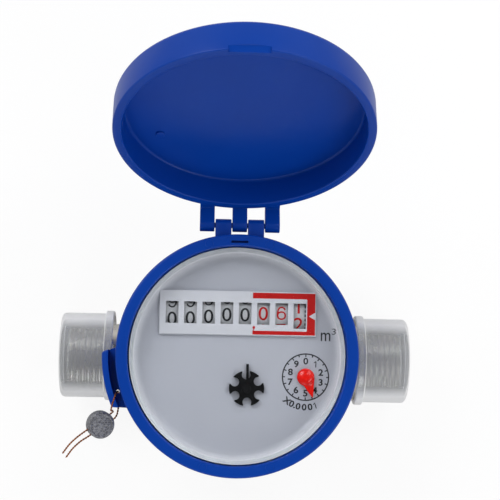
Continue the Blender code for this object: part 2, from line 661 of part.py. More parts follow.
def make_gear_train(plastic, magnet, steel, star_black, pointer_red):
    """Reduction from the follower magnet to the flow star, the pointer and the worm."""
    centre = Vector((0, 0))
    wheel_r = WORM_TEETH * WORM_MODULE / 2
    worm_x = LAST_WHEEL_X + WHEEL_WIDTH / 2 + WORM_WHEEL_OUT
    worm_at = Vector((worm_x, COUNTER_Y - wheel_r - WORM_R))
    star_module = 2 * (STAR_AT - centre).length / (PINION_TEETH + STAR_TEETH)
    gap = (worm_at - POINTER_AT).length
    low_module = 2 * gap / (WHEEL_GEAR_TEETH + WORM_PINION_TEETH)
    reach = (PINION_TEETH + WHEEL_GEAR_TEETH) / 2
    middle_at = meeting_point(STAR_AT, reach * MIDDLE_MODULE, POINTER_AT, reach * low_module)

    half = GEAR_THICKNESS / 2
    pinion_half = PINION_THICKNESS / 2
    arbor_top = GEAR_PLATE_TOP - FIT
    star_top = DIAL_Z + DIAL_GAP + STAR_THICKNESS + FIT
    pointer_top = DIAL_Z + DIAL_GAP + POINTER_THICKNESS

    star_phase = meshed_phase(0, PINION_TEETH, STAR_TEETH, heading_to(centre, STAR_AT))
    middle_heading = heading_to(STAR_AT, middle_at)
    middle_phase = meshed_phase(0, PINION_TEETH, WHEEL_GEAR_TEETH, middle_heading)
    pointer_heading = heading_to(middle_at, POINTER_AT)
    pointer_phase = meshed_phase(0, PINION_TEETH, WHEEL_GEAR_TEETH, pointer_heading)
    worm_heading = heading_to(POINTER_AT, worm_at)
    worm_phase = meshed_phase(
        pointer_phase, WHEEL_GEAR_TEETH, WORM_PINION_TEETH, worm_heading
    )

    magnet_low = CAN_FLOOR_TOP + DIAL_GAP
    follower = rod(MAGNET_R, magnet_low, magnet_low + MAGNET_HEIGHT * 0.8, MEDIUM)
    follower = piece("follower_magnet", follower, magnet)
    cut(follower, rod(ARBOR_R + FIT, CAN_FLOOR_TOP, magnet_low + MAGNET_HEIGHT, COARSE))

    centre_arbor = piece("centre_arbor", rod(ARBOR_R, ARBOR_BOTTOM, arbor_top, COARSE), steel)
    join(
        centre_arbor,
        gear(PINION_TEETH, star_module, LEVEL_HIGH - pinion_half, LEVEL_HIGH + pinion_half),
    )

    star_gear = rod(ARBOR_R, ARBOR_BOTTOM, star_top, COARSE)
    star_gear = piece("star_gear", star_gear, plastic, (*STAR_AT, 0))
    join(star_gear, gear(STAR_TEETH, star_module, LEVEL_HIGH - half, LEVEL_HIGH + half, star_phase))
    join(
        star_gear,
        gear(PINION_TEETH, MIDDLE_MODULE, LEVEL_MIDDLE - pinion_half, LEVEL_MIDDLE + pinion_half),
    )

    middle_gear = rod(ARBOR_R, ARBOR_BOTTOM, arbor_top, COARSE)
    middle_gear = piece("middle_gear", middle_gear, plastic, (*middle_at, 0))
    join(
        middle_gear,
        gear(
            WHEEL_GEAR_TEETH, MIDDLE_MODULE, LEVEL_MIDDLE - half, LEVEL_MIDDLE + half, middle_phase
        ),
    )
    join(
        middle_gear,
        gear(PINION_TEETH, low_module, LEVEL_LOW - pinion_half / 2, LEVEL_LOW + pinion_half),
    )

    pointer_gear = rod(ARBOR_R, ARBOR_BOTTOM, pointer_top, COARSE)
    pointer_gear = piece("pointer_gear", pointer_gear, plastic, (*POINTER_AT, 0))
    join(
        pointer_gear,
        gear(WHEEL_GEAR_TEETH, low_module, LEVEL_LOW - half, LEVEL_LOW + half, pointer_phase),
    )

    worm_gear = rod(ARBOR_R, ARBOR_BOTTOM, arbor_top, COARSE)
    worm_gear = piece("worm_gear", worm_gear, plastic, (*worm_at, 0))
    join(
        worm_gear,
        gear(WORM_PINION_TEETH, low_module, LEVEL_LOW - half, LEVEL_LOW + half, worm_phase),
    )
    join(worm_gear, make_worm(WHEEL_Z - WORM_LENGTH / 2, WHEEL_Z + WORM_LENGTH / 2))

    make_flow_star(star_black)
    make_red_pointer(pointer_red)
    return [centre, STAR_AT, middle_at, POINTER_AT, worm_at]


def make_flow_star(material):
    """Six flared points with round notches between them, and one thin spike."""
    low = DIAL_Z + DIAL_GAP
    outline = []
    step = TURN / STAR_POINTS
    half_notch = math.asin(STAR_NOTCH_R / STAR_NOTCH_CIRCLE)
    for i in range(STAR_POINTS):
        notch = math.pi / 2 + i * step
        centre = polar(STAR_NOTCH_CIRCLE, notch)
        outline += arc(centre, STAR_NOTCH_R, notch - 2.2, notch - math.pi, 2)
        outline += arc(centre, STAR_NOTCH_R, notch + math.pi, notch + 2.2, 2)[1:]
        outline += arc((0, 0), STAR_R, notch + half_notch, notch + step - half_notch, 2)
    star = piece("flow_star", slab(outline, low, low + STAR_THICKNESS), material, (*STAR_AT, 0))
    half = SPIKE_WIDTH / 2
    spike = [(-half, 0), (half, 0), (half, SPIKE_LENGTH), (-half, SPIKE_LENGTH)]
    join(star, slab(spike, low + FIT, low + STAR_THICKNESS - FIT))
    cut(star, rod(ARBOR_R + FIT, low - OVERCUT, low + STAR_THICKNESS + OVERCUT, COARSE))


def make_red_pointer(material):
    """A domed hub drawn out to a point."""
    low = DIAL_Z + DIAL_GAP
    spread = math.acos(POINTER_HUB_R / POINTER_TIP)
    outline = arc((0, 0), POINTER_HUB_R, spread, TURN - spread, 16) + [(POINTER_TIP, 0)]
    blade = slab(outline, low, low + POINTER_THICKNESS)
    turn = (0, 0, POINTER_ANGLE)
    pointer = piece("red_pointer", blade, material, (*POINTER_AT, 0), turn)
    top = low + POINTER_THICKNESS + POINTER_DOME
    shoulder = POINTER_HUB_R * 0.78
    dome = [(0, low + FIT), (shoulder, low + FIT), (shoulder, low + POINTER_THICKNESS)]
    dome += [(shoulder * 0.72, top - POINTER_DOME * 0.3), (0, top)]
    join(pointer, turned(dome, SMALL))
    cut(pointer, rod(ARBOR_R + FIT, low - OVERCUT, low + POINTER_THICKNESS + FIT, COARSE))


def make_number_wheels(white, steel, pinion_plastic):
    """Eight number wheels on one shaft, with a transfer pinion between each pair."""
    upright = (0, math.pi / 2, 0)
    half = WHEEL_WIDTH / 2
    phase = meshed_phase(0, RING_TEETH, TRANSFER_TEETH, TRANSFER_ANGLE)
    cam_r = TRANSFER_SPACING - TRANSFER_TEETH * CARRY_MODULE / 2 - CARRY_MODULE - FIT
    cam = [polar(cam_r - CAM_TOOTH * (k > 1), k * TURN / SMALL) for k in range(SMALL)]
    for i in range(WHEELS):
        x = FIRST_WHEEL_X + i * WHEEL_PITCH
        at = (x, COUNTER_Y, WHEEL_Z)
        wheel = piece(f"number_wheel_{i + 1}", rod(WHEEL_R, -half, half, MEDIUM), white, at, upright)
        if i:
            join(wheel, slab(cam, -half - CAM_WIDTH, -half + FIT))
        if i < WHEELS - 1:
            join(wheel, gear(RING_TEETH, CARRY_MODULE, half - FIT, half + RING_GEAR_WIDTH))
            low = half + FIT
            pinion = piece(
                f"transfer_pinion_{i + 1}",
                gear(TRANSFER_TEETH, CARRY_MODULE, low, low + TRANSFER_WIDTH, phase),
                pinion_plastic, (x, TRANSFER_Y, TRANSFER_Z), upright,
            )
            cut(pinion, rod(TRANSFER_SHAFT_R + FIT, 0, WHEEL_PITCH, COARSE))
        else:
            wheel_half = WORM_WHEEL_WIDTH / 2
            middle = half + WORM_WHEEL_OUT
            join(wheel, rod(3 * SHAFT_R, half - FIT, middle, SMALL))
            gap_phase = -math.pi / 2 + math.pi / WORM_TEETH
            low, high = middle - wheel_half, middle + wheel_half
            join(wheel, gear(WORM_TEETH, WORM_MODULE, low, high, gap_phase))
        cut(wheel, rod(SHAFT_R + FIT, -WHEEL_PITCH, WHEEL_PITCH, COARSE))
    make_drum_frame(pinion_plastic, steel)


def make_drum_frame(plastic, steel):
    """Bracket on the can's floor: a strip with an upright at each end and one for the pinions."""
    left = BRACKET_LEFT + BRACKET_WALL
    right = BRACKET_RIGHT - BRACKET_WALL
    inner_right = PINION_END - BRACKET_WALL
    front = COUNTER_Y - BRACKET_HALF_DEPTH
    low = CAN_FLOOR_TOP + FIT
    top = WHEEL_Z + BRACKET_TOP
    strip_top = low + BRACKET_STRIP
    ends = (BRACKET_LEFT, BRACKET_RIGHT)
    transfer_ends = (BRACKET_LEFT, PINION_END)
    lug_top = TRANSFER_Z + 2 * TRANSFER_SHAFT_R + FIT
    strip = block((ends[0], front, low), (ends[1], STRIP_BACK, strip_top))
    bracket = piece("drum_frame", strip, plastic)
    join(bracket, block((ends[0], front, low), (left, STRIP_BACK, top)))
    lug_back = (left, BRACKET_BACK, lug_top)
    join(bracket, block((ends[0], STRIP_BACK - BRACKET_WALL, low), lug_back))
    join(bracket, block((right, front, low), (ends[1], STRIP_BACK, top)))
    join(bracket, block((inner_right, front, low), (PINION_END, BRACKET_BACK, strip_top)))
    lug_front = TRANSFER_Y - TRANSFER_SHAFT_R - FIT - BRACKET_MARGIN
    join(bracket, block((inner_right, lug_front, low), (PINION_END, BRACKET_BACK, lug_top)))
    shafts = (
        ("drum_shaft", SHAFT_R, COUNTER_Y, WHEEL_Z, ends),
        ("pinion_shaft", TRANSFER_SHAFT_R, TRANSFER_Y, TRANSFER_Z, transfer_ends),
    )
    for name, radius, y, z, (start, end) in shafts:
        place = Matrix.Translation((0, y, z)) @ ALONG_X
        cut(bracket, rod(radius + FIT, start - BRACKET_WALL, end + BRACKET_WALL, COARSE, place))
        piece(name, rod(radius, start, end, COARSE, place), steel)


def make_dial(white):
    """The white dish: flat dial, raised counter panel with its windows, and a filleted wall."""
    inner = CAN_R - DISH_WALL
    fillet = arc((inner - DISH_FILLET, DIAL_Z + DISH_FILLET), DISH_FILLET, -math.pi / 2, 0, 3)
    profile = [(0, DIAL_UNDER), (CAN_R, DIAL_UNDER), (CAN_R, DISH_TOP), (inner, DISH_TOP)]
    profile += list(reversed(fillet))
    profile.append((0, DIAL_Z))
    dial = piece("dial_plate", turned(profile, FINE), white)
    half_x, half_y = PANEL_SIZE[0] / 2, PANEL_SIZE[1] / 2
    low_y, high_y = COUNTER_Y - half_y, COUNTER_Y + half_y
    join(
        dial,
        block((-half_x, low_y, DIAL_Z - SINK), (half_x, high_y, PANEL_TOP)),
    )
    skin = PANEL_SKIN
    room = block(
        (-half_x + skin, low_y + skin, DIAL_UNDER - OVERCUT),
        (half_x - skin, high_y - skin, PANEL_TOP - skin),
    )
    cut(dial, room)
    for i in range(WHEELS):
        x = COUNTER_X + (i - (WHEELS - 1) / 2) * WHEEL_PITCH
        extra = LAST_WINDOW_EXTRA if i == WHEELS - 1 else 0
        low = (x - WINDOW_SIZE[0] / 2, COUNTER_Y - WINDOW_SIZE[1] / 2 - extra, PANEL_TOP - 2 * skin)
        high = (x + WINDOW_SIZE[0] / 2, COUNTER_Y + WINDOW_SIZE[1] / 2, PANEL_TOP + OVERCUT)
        cut(dial, block(low, high))
    for spot in (STAR_AT, POINTER_AT):
        place = Matrix.Translation((spot.x, spot.y, 0))
        cut(dial, rod(ARBOR_R + FIT, DIAL_UNDER - OVERCUT, DIAL_Z + OVERCUT, COARSE, place))


def make_lens(clear, rubber):
    """Clear disc with a chamfered edge on a flat ring."""
    gasket_low = DISH_TOP + FIT
    gasket_top = gasket_low + GASKET_HEIGHT
    ring = [
        (CAN_R, gasket_low), (CAN_R, gasket_top),
        (CAN_R - DISH_WALL, gasket_top), (CAN_R - DISH_WALL, gasket_low),
    ]
    piece("lens_gasket", turned(ring, LARGE), rubber)
    low = gasket_top + FIT
    top = low + LENS_HEIGHT
    disc = [
        (0, low), (CAN_R, low), (CAN_R, top - LENS_CHAMFER), (CAN_R - LENS_CHAMFER, top), (0, top)
    ]
    piece("lens", turned(disc, FINE), clear)


def knuckle_spans():
    """Ends along X of the middle, ring and outer knuckles on the positive side."""
    ring_start = MIDDLE_KNUCKLE / 2 + FIT
    ring_end = ring_start + RING_KNUCKLE
    outer_start = ring_end + FIT
    return ring_start, ring_end, outer_start, outer_start + OUTER_KNUCKLE


def make_ring(blue):
    """Moulded shroud: skirt snapped over the flange, flat top, two knuckles and the seal lug."""
    snap_low = FLANGE_TOP - FIT - SNAP_HEIGHT - SNAP_HEIGHT / 2 + FIT
    snap_top = snap_low + SNAP_HEIGHT - 2 * FIT
    step_z = FLANGE_TOP + SKIRT_STEP
    bead_r = SKIRT_IN - SNAP_DEPTH
    profile = [
        (SKIRT_IN, SKIRT_BOTTOM),
        (RING_R, SKIRT_BOTTOM),
        (RING_R, RING_TOP - RING_EDGE),
        (RING_R - RING_EDGE, RING_TOP),
        (RING_IN + RING_EDGE, RING_TOP),
        (RING_IN, RING_TOP - RING_EDGE),
        (RING_IN, step_z + SKIRT_BEVEL),
        (SKIRT_IN, step_z),
        (SKIRT_IN, snap_top),
        (bead_r, snap_top),
        (bead_r, snap_low),
        (SKIRT_IN, snap_low),
    ]
    ring = piece("lock_ring", turned(profile, FINE), blue)
    ring_start, ring_end, _, _ = knuckle_spans()
    root_y = math.sqrt((RING_R - RING_EDGE) ** 2 - ring_end**2) - KNUCKLE_SINK
    y, z = HINGE_AT.y, HINGE_AT.z
    knuckle = [(root_y, z + BARREL_R), (root_y, z - BARREL_R)]
    knuckle += arc((y, z), BARREL_R, -math.pi / 2, math.pi / 2, 6)
    for side in (-1, 1):
        low, high = sorted((side * ring_start, side * ring_end))
        join(ring, slab(knuckle, low, high, ALONG_X))
    pin_hole = Matrix.Translation(HINGE_AT) @ ALONG_X
    cut(ring, rod(PIN_R + FIT, -ring_end - OVERCUT, ring_end + OVERCUT, SMALL, pin_hole))
    slot_y = RING_IN + SLOT_FROM_INNER_EDGE
    slot_low = (-ring_start, slot_y, RING_TOP - SLOT_DEPTH)
    cut(ring, block(slot_low, (ring_start, slot_y + SLOT_WIDTH, RING_TOP + OVERCUT)))

    top = RING_TOP - LUG_BELOW_TOP
    reach = RING_R + LUG_REACH
    outline = arc((0, 0), reach, *LUG_TIP_ANGLES, 6)
    outline += arc((0, 0), RING_R - LUG_SINK, *reversed(LUG_ROOT_ANGLES), 8)
    join(ring, slab(outline, top - LUG_HEIGHT, top))
    inset = LUG_WALL / reach
    pocket_angles = (LUG_TIP_ANGLES[0] + inset, LUG_TIP_ANGLES[1] - inset)
    pocket = arc((0, 0), reach - LUG_WALL, *pocket_angles, 6)
    pocket += arc((0, 0), RING_R, *reversed(pocket_angles), 6)
    cut(ring, slab(pocket, top - LUG_HEIGHT + LUG_FLOOR, top + OVERCUT))
    hole_at = polar(RING_R + (LUG_REACH - LUG_WALL) / 2, LUG_HOLE_ANGLE)
    place = Matrix.Translation((*hole_at, 0))
    cut(ring, rod(LUG_HOLE_R, top - LUG_HEIGHT - OVERCUT, top - OVERCUT, SMALL, place))


def make_lid(blue, steel):
    """Shallow moulded lid, drawn closed about its hinge and then turned open."""
    frame = Matrix.Translation(-HINGE_AT)
    inner = LID_R - LID_WALL
    ceiling = LID_TOP - LID_PLATE
    profile = [
        (inner, LID_RIM),
        (LID_R, LID_RIM),
        (LID_R, LID_TOP - LID_EDGE),
        (LID_R - LID_EDGE * 0.3, LID_TOP - LID_EDGE * 0.3),
        (LID_R - LID_EDGE, LID_TOP),
        (0, LID_TOP),
        (0, ceiling),
        (inner, ceiling),
    ]
    bm = turned(profile, FINE, frame)
    lid = piece("lid", bm, blue, HINGE_AT, (-LID_OPEN, 0, 0))
    ring_start, ring_end, outer_start, outer_end = knuckle_spans()
    y, z = HINGE_AT.y, HINGE_AT.z
    attach_y = max(math.sqrt(LID_R**2 - outer_end**2) - ARM_SINK, inner + FIT)
    arm = arc((y, z), BARREL_R, math.pi, TURN, 6)
    arm_low = LID_RIM + FIT
    arm_top = LID_RIM + ARM_RISE
    arm += [(y + BARREL_R, LID_RIM + ARM_CORNER), (LID_R - SINK, arm_top)]
    arm += [(attach_y, arm_top), (attach_y, arm_low), (y - BARREL_R, arm_low)]
    spans = ((-outer_end, -outer_start), (-MIDDLE_KNUCKLE / 2, MIDDLE_KNUCKLE / 2))
    for low, high in (*spans, (outer_start, outer_end)):
        join(lid, slab(arm, low, high, frame @ ALONG_X))
    cut(lid, rod(PIN_R + FIT, -outer_end - OVERCUT, outer_end + OVERCUT, SMALL, ALONG_X))
    half = NOTCH_WIDTH / 2
    notch_low = (-half, -LID_R - OVERCUT, LID_RIM - OVERCUT)
    notch_high = (half, -inner + OVERCUT, LID_RIM + NOTCH_DEPTH)
    cut(lid, block(notch_low, notch_high, frame))
    place = Matrix.Translation(HINGE_AT) @ ALONG_X
    piece("hinge_pin", rod(PIN_R, -outer_end, outer_end, SMALL, place), steel)


def make_caps(translucent):
    """Thread protectors: thin cups with a flange round the mouth."""
    inner = THREAD_R + CAP_SLACK
    outer = inner + CAP_WALL
    bottom = BODY_LENGTH / 2 + CAP_END_GAP
    end = bottom + CAP_END_WALL
    corner = arc((outer - CAP_CORNER, end - CAP_CORNER), CAP_CORNER, 0, math.pi / 2, 2)
    profile = [
        (inner, CAP_START),
        (outer + CAP_FLANGE_RISE, CAP_START),
        (outer + CAP_FLANGE_RISE, CAP_START + CAP_FLANGE_WIDTH),
        (outer, CAP_START + CAP_FLANGE_WIDTH),
        *corner,
        (0, end),
        (0, bottom),
        (inner, bottom),
    ]
    for name, side in (("inlet_cap", -1), ("outlet_cap", 1)):
        piece(name, turned(profile, LARGE, pipe_frame(side)), translucent)


def seal_frame():
    """Seal's own frame: Z along its axis, X along the wire's heading."""
    side = SEAL_AXIS.cross(WIRE_HEADING).normalized()
    ahead = side.cross(SEAL_AXIS).normalized()
    turn = Matrix((ahead, side, SEAL_AXIS)).transposed().to_4x4()
    return Matrix.Translation(SEAL_AT) @ turn


def make_lead_seal(lead):
    """A cast disc crimped on the wire, with two bores for its strands."""
    half = SEAL_THICKNESS / 2
    disc = [(0, -half), (SEAL_R - SEAL_EDGE, -half), (SEAL_R, SEAL_EDGE - half)]
    disc += [(SEAL_R, half - SEAL_EDGE), (SEAL_R - SEAL_EDGE, half), (0, half)]
    seal = piece("lead_seal", turned(disc, MEDIUM, seal_frame()), lead)
    for side in (-1, 1):
        place = seal_frame() @ Matrix.Translation((0, side * STRAND_OFFSET, 0)) @ ALONG_X
        cut(seal, rod(WIRE_R + FIT, -2 * SEAL_R, 2 * SEAL_R, COARSE, place))


def smooth_route(points, step):
    """Evenly spaced points on a smooth curve through the route's own points."""
    ends = [points[0] * 2 - points[1], *points, points[-1] * 2 - points[-2]]
    fine = []
    for before, a, b, after in zip(ends, ends[1:], ends[2:], ends[3:]):
        for i in range(16):
            t = i / 16
            bend = (2 * a) + (b - before) * t
            bend += (2 * before - 5 * a + 4 * b - after) * t**2
            bend += (3 * a - before - 3 * b + after) * t**3
            fine.append(bend / 2)
    fine.append(points[-1])
    spaced = [fine[0]]
    travelled = 0.0
    for a, b in zip(fine, fine[1:]):
        travelled += (b - a).length
        if travelled >= step:
            spaced.append(b)
            travelled = 0.0
    spaced[-1] = fine[-1]
    return spaced


def make_seal_wire(copper):
    route = [Vector(point) * MM for point in WIRE_ROUTE]
    points = smooth_route(route, WIRE_STEP)
    curve = bpy.data.curves.new("seal_wire", "CURVE")
    curve.dimensions = "3D"
    curve.bevel_depth = WIRE_R
    curve.bevel_resolution = 2
    curve.use_fill_caps = True
    line = curve.splines.new("POLY")
    line.points.add(len(points) - 1)
    for spot, point in zip(line.points, points):
        spot.co = (*point, 1)
    line.use_smooth = True
    curve.materials.append(copper)
    bpy.context.collection.objects.link(bpy.data.objects.new("seal_wire", curve))


clear_scene()

brass = finish("nickel_plated_brass", "C9C3B6", 0.28, 1.0)
blue = finish("blue_plastic", "0A46B4", 0.35)
white = finish("white_plastic", "E9EAEC", 0.45)
grey = finish("grey_plastic", "C4C7CB", 0.5)
black = finish("black_plastic", "15161A", 0.4)
red = finish("red_plastic", "D8221F", 0.35)
translucent = finish("frosted_polythene", "E4E8EA", 0.3, alpha=0.45)
glass = finish("clear_lens", "F4F8FA", 0.05, alpha=0.15)
rubber = finish("rubber", "2A2A2C", 0.8)
silicone = finish("silicone", "CFD3D6", 0.6)
magnet = finish("ferrite", "33322F", 0.6, 0.3)
steel = finish("steel", "B9BBBE", 0.3, 1.0)
lead = finish("lead", "5B5D61", 0.5, 0.8)
copper = finish("copper", "B06A3B", 0.35, 1.0)

make_body(brass)
make_strainer(white)
make_impeller(white, magnet, steel)
make_separating_plate(grey, rubber)
arbor_spots = make_gear_train(grey, magnet, steel, black, red)
make_register_can(grey, arbor_spots)
make_gear_plate(grey, arbor_spots, arbor_spots[-1])
make_number_wheels(white, steel, grey)
make_dial(white)
make_lens(glass, silicone)
make_ring(blue)
make_lid(blue, steel)
make_caps(translucent)
make_lead_seal(lead)
make_seal_wire(copper)
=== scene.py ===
import math

import bmesh
import bpy
from mathutils import Matrix, Vector


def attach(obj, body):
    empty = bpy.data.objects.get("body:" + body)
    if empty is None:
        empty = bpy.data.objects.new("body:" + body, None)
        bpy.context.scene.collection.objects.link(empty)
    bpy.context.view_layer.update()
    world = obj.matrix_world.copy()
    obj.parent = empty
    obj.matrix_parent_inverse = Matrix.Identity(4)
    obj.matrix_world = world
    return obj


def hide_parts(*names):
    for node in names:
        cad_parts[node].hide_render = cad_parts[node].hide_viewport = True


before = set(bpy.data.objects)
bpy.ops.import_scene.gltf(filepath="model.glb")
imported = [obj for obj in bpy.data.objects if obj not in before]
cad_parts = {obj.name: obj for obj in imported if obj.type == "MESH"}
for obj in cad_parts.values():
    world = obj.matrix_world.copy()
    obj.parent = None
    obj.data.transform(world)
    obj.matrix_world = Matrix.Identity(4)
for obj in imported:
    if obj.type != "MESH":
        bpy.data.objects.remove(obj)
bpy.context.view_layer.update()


# Casting: cup, flange and both pipe ends are one piece of brass, cast, bored and threaded, then
# nickel plated and tumbled. That leaves a soft satin shine over a fine cast skin. Everything
# else is held by it. Sizes here and below are in millimetres.
MM = 0.001
TURN = 2 * math.pi
ALONG_X = Matrix(((0, 0, 1, 0), (1, 0, 0, 0), (0, 1, 0, 0), (0, 0, 0, 1)))
FOOT_R = 17
CUP_R = 27.5
CHAMBER_R = 24
CHAMBER_LOW = 4.5
PIVOT_R = 1.3
PIVOT_LOW = 2.2
GROOVE_IN = 24.8
GROOVE_OUT = 27.2
GROOVE_LOW = 22.5
SEAT_R = 28.3
SEAT_Z = 25
FLANGE_R = 34.6
FLANGE_LOW = 25
BODY_TOP = 29.7
PIPE_Z = 17
PIPE_END = 54.9
BORE_R = 7.5
JET_R = 3
JET_START = (33, 1)
JET_WAY = (-15, -11.5)
NECK_R = 10.5
SHOULDER_X = 41
THREAD_ROOT = 12.1
THREAD_CREST = 13.15
THREAD_PITCH = 1.814
THREAD_TURNS = 6.7
THREAD_START = 41.9
THREAD_SUNK = 0.15
THREAD_STEPS = 64


def linear(colour):
    """The linear colour of an sRGB hex value."""
    channels = [int(colour[i : i + 2], 16) / 255 for i in (0, 2, 4)]
    return [c / 12.92 if c <= 0.04045 else ((c + 0.055) / 1.055) ** 2.4 for c in channels] + [1]


def add(tree, kind, inputs=(), **settings):
    """Adds a shader node with its settings, and sets or links its inputs."""
    node = tree.nodes.new("ShaderNode" + kind)
    for name, value in settings.items():
        setattr(node, name, value)
    for socket, value in dict(inputs).items():
        if isinstance(value, bpy.types.NodeSocket):
            tree.links.new(value, node.inputs[socket])
        else:
            node.inputs[socket].default_value = value
    return node


def new_material(name, colour, constants):
    """A material with one Principled shader, its node tree and the object's own coordinates."""
    material = bpy.data.materials.new(name)
    material.use_nodes = True
    tree = material.node_tree
    tree.nodes.clear()
    shader = add(tree, "BsdfPrincipled", {"Base Color": linear(colour), **constants})
    add(tree, "OutputMaterial", {"Surface": shader.outputs[0]})
    where = add(tree, "TexCoord").outputs["Object"]
    return material, tree, shader, where


def drawn(corners, closed=True, flat=False):
    """An outline of (across, up, rounding) corners in XZ, or flat in XY."""
    bm = bmesh.new()
    verts = []
    for across, up, _ in corners:
        spot = (across, up, 0) if flat else (across, 0, up)
        verts.append(bm.verts.new(Vector(spot) * MM))
    ends = verts[1:] + verts[:1] if closed else verts[1:]
    for pair in zip(verts, ends):
        bm.edges.new(pair)
    # A wide rounding is cut into more facets than a narrow one
    for vert, (_, _, rounding) in zip(verts, corners):
        if rounding:
            bmesh.ops.bevel(
                bm, geom=[vert], offset=rounding * MM, offset_type="OFFSET",
                segments=5 if rounding < 2 else 16, profile=0.5, affect="VERTICES", material=-1,
            )
    return bm


def turned(corners, steps, place=Matrix()):
    """Spins an outline about Z; one that starts and ends on the axis needs no closing line."""
    on_axis = corners[0][0] == 0 and corners[-1][0] == 0
    bm = drawn(corners, closed=not on_axis)
    bmesh.ops.spin(
        bm, geom=bm.verts[:] + bm.edges[:], cent=(0, 0, 0), axis=(0, 0, 1), angle=TURN,
        steps=steps, use_merge=True,
    )
    bmesh.ops.remove_doubles(bm, verts=bm.verts, dist=0.000001)
    bmesh.ops.transform(bm, matrix=place, verts=bm.verts)
    bmesh.ops.recalc_face_normals(bm, faces=bm.faces)
    return bm


def along_pipe(side):
    """The place of a piece made upright that lies along the pipe, on one side of the casting."""
    return Matrix.Translation((0, 0, PIPE_Z * MM)) @ Matrix.Scale(side, 4, (1, 0, 0)) @ ALONG_X


def rod(radius, low, high, steps, place=Matrix()):
    """A plain turned bar, used for bores and pins."""
    return turned([(0, low, 0), (radius, low, 0), (radius, high, 0), (0, high, 0)], steps, place)


def combined(bm, tools, operation):
    """Joins the tools to a solid, or cuts them out of it, exactly."""
    objects = []
    for shape in (bm, *tools):
        mesh = bpy.data.meshes.new("blank")
        shape.to_mesh(mesh)
        shape.free()
        objects.append(bpy.data.objects.new("blank", mesh))
        bpy.context.scene.collection.objects.link(objects[-1])
    host = objects[0]
    for tool in objects[1:]:
        step = host.modifiers.new("step", "BOOLEAN")
        step.operation = operation
        step.object = tool
        step.solver = "EXACT"
    result = bmesh.new()
    result.from_object(host, bpy.context.evaluated_depsgraph_get())
    for used in objects:
        bpy.data.objects.remove(used, do_unlink=True)
    return result


def finished(name, bm, material, slot, body, *nodes, sharp=34):
    """Makes a solid a piece of the object that rides on a body and stands for CAD nodes."""
    mesh = bpy.data.meshes.new(name)
    bm.to_mesh(mesh)
    bm.free()
    mesh.shade_smooth()
    mesh.set_sharp_from_angle(angle=math.radians(sharp))
    mesh.materials.append(material)
    piece = bpy.data.objects.new(name, mesh)
    bpy.context.scene.collection.objects.link(piece)
    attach(piece, body)
    if nodes:
        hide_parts(*nodes)
    return piece


# The cast skin is a 0.6 mm grain under the plating. Handling leaves faint cloudy patches, and the
# clear passivation over the nickel shows a weak pink and green film
nickel, tree, shader, where = new_material(
    "nickel_plated_brass", "D0CBC0", {"Metallic": 1.0, "Roughness": 0.3}
)
cloud = add(tree, "TexNoise", {"Vector": where, "Scale": 1 / (9 * MM), "Detail": 3.0})
tone = add(tree, "Mix", {0: cloud.outputs[0], 6: linear("C8C3B8"), 7: linear("DFDBD3")},
           data_type="RGBA")
tint = add(tree, "TexNoise", {"Vector": where, "Scale": 1 / (4 * MM), "Detail": 1.0})
hue = add(tree, "Mix", {0: tint.outputs[0], 6: linear("E6CBD6"), 7: linear("CFE0C8")},
          data_type="RGBA")
pearl = add(tree, "Mix", {0: 0.35, 6: tone.outputs[2], 7: hue.outputs[2]}, data_type="RGBA")
tree.links.new(pearl.outputs[2], shader.inputs["Base Color"])
satin = add(tree, "MapRange", {0: cloud.outputs[0], 3: 0.2, 4: 0.34})
tree.links.new(satin.outputs[0], shader.inputs["Roughness"])
grain = add(tree, "TexNoise", {"Vector": where, "Scale": 1 / (0.6 * MM), "Detail": 2.0})
skin = add(tree, "Bump", {"Height": grain.outputs[0], "Distance": 0.02 * MM, "Strength": 0.5})
tree.links.new(skin.outputs[0], shader.inputs["Normal"])

casting = turned(
    [
        (0, 0, 0), (FOOT_R, 0, 0.9), (FOOT_R, 2, 0.4), (CUP_R, 2, 5.5), (CUP_R, 19, 2.5),
        (31.05, 23.5, 2), (FLANGE_R, FLANGE_LOW, 0.5), (FLANGE_R, 27.9, 0.15), (34, 27.9, 0),
        (34, 28.9, 0), (FLANGE_R, 28.9, 0.15), (FLANGE_R, BODY_TOP, 0.3), (0, BODY_TOP, 0),
    ],
    144,
)
joined = []
for side in (-1, 1):
    joined.append(turned(
        [
            (0, 25, 0), (NECK_R, 25, 0), (NECK_R, SHOULDER_X, 1), (THREAD_ROOT, SHOULDER_X, 0.3),
            (THREAD_ROOT, PIPE_END, 0.6), (0, PIPE_END, 0),
        ],
        96, along_pipe(side),
    ))
    ridge = drawn(
        [
            (THREAD_ROOT - THREAD_SUNK, THREAD_START, 0), (THREAD_CREST, 42.6, 0.1),
            (THREAD_CREST, 42.85, 0.1), (THREAD_ROOT - THREAD_SUNK, 43.55, 0),
        ]
    )
    bmesh.ops.contextual_create(ridge, geom=ridge.edges[:])
    steps = round(THREAD_STEPS * THREAD_TURNS)
    bmesh.ops.spin(
        ridge, geom=ridge.verts[:] + ridge.edges[:] + ridge.faces[:], cent=(0, 0, 0),
        axis=(0, 0, 1), angle=TURN * THREAD_TURNS, steps=steps,
        dvec=(0, 0, THREAD_PITCH * MM / THREAD_STEPS),
    )
    # The ridge gets lower, to about half its height, over the last quarter turn at both ends, and
    # it runs out a little past the pipe's end face, inside the protector
    for vert in ridge.verts:
        radius = vert.co.xy.length
        climbed = (vert.co.z / MM - THREAD_START) / THREAD_PITCH
        left = THREAD_TURNS + 0.9 - climbed
        fade = min(1, max(0, min(climbed, left) * 1.6))
        root = (THREAD_ROOT - THREAD_SUNK) * MM
        wanted = root + (radius - root) * fade
        vert.co.xy *= wanted / radius
    bmesh.ops.transform(ridge, matrix=along_pipe(side), verts=ridge.verts)
    bmesh.ops.recalc_face_normals(ridge, faces=ridge.faces)
    joined.append(ridge)
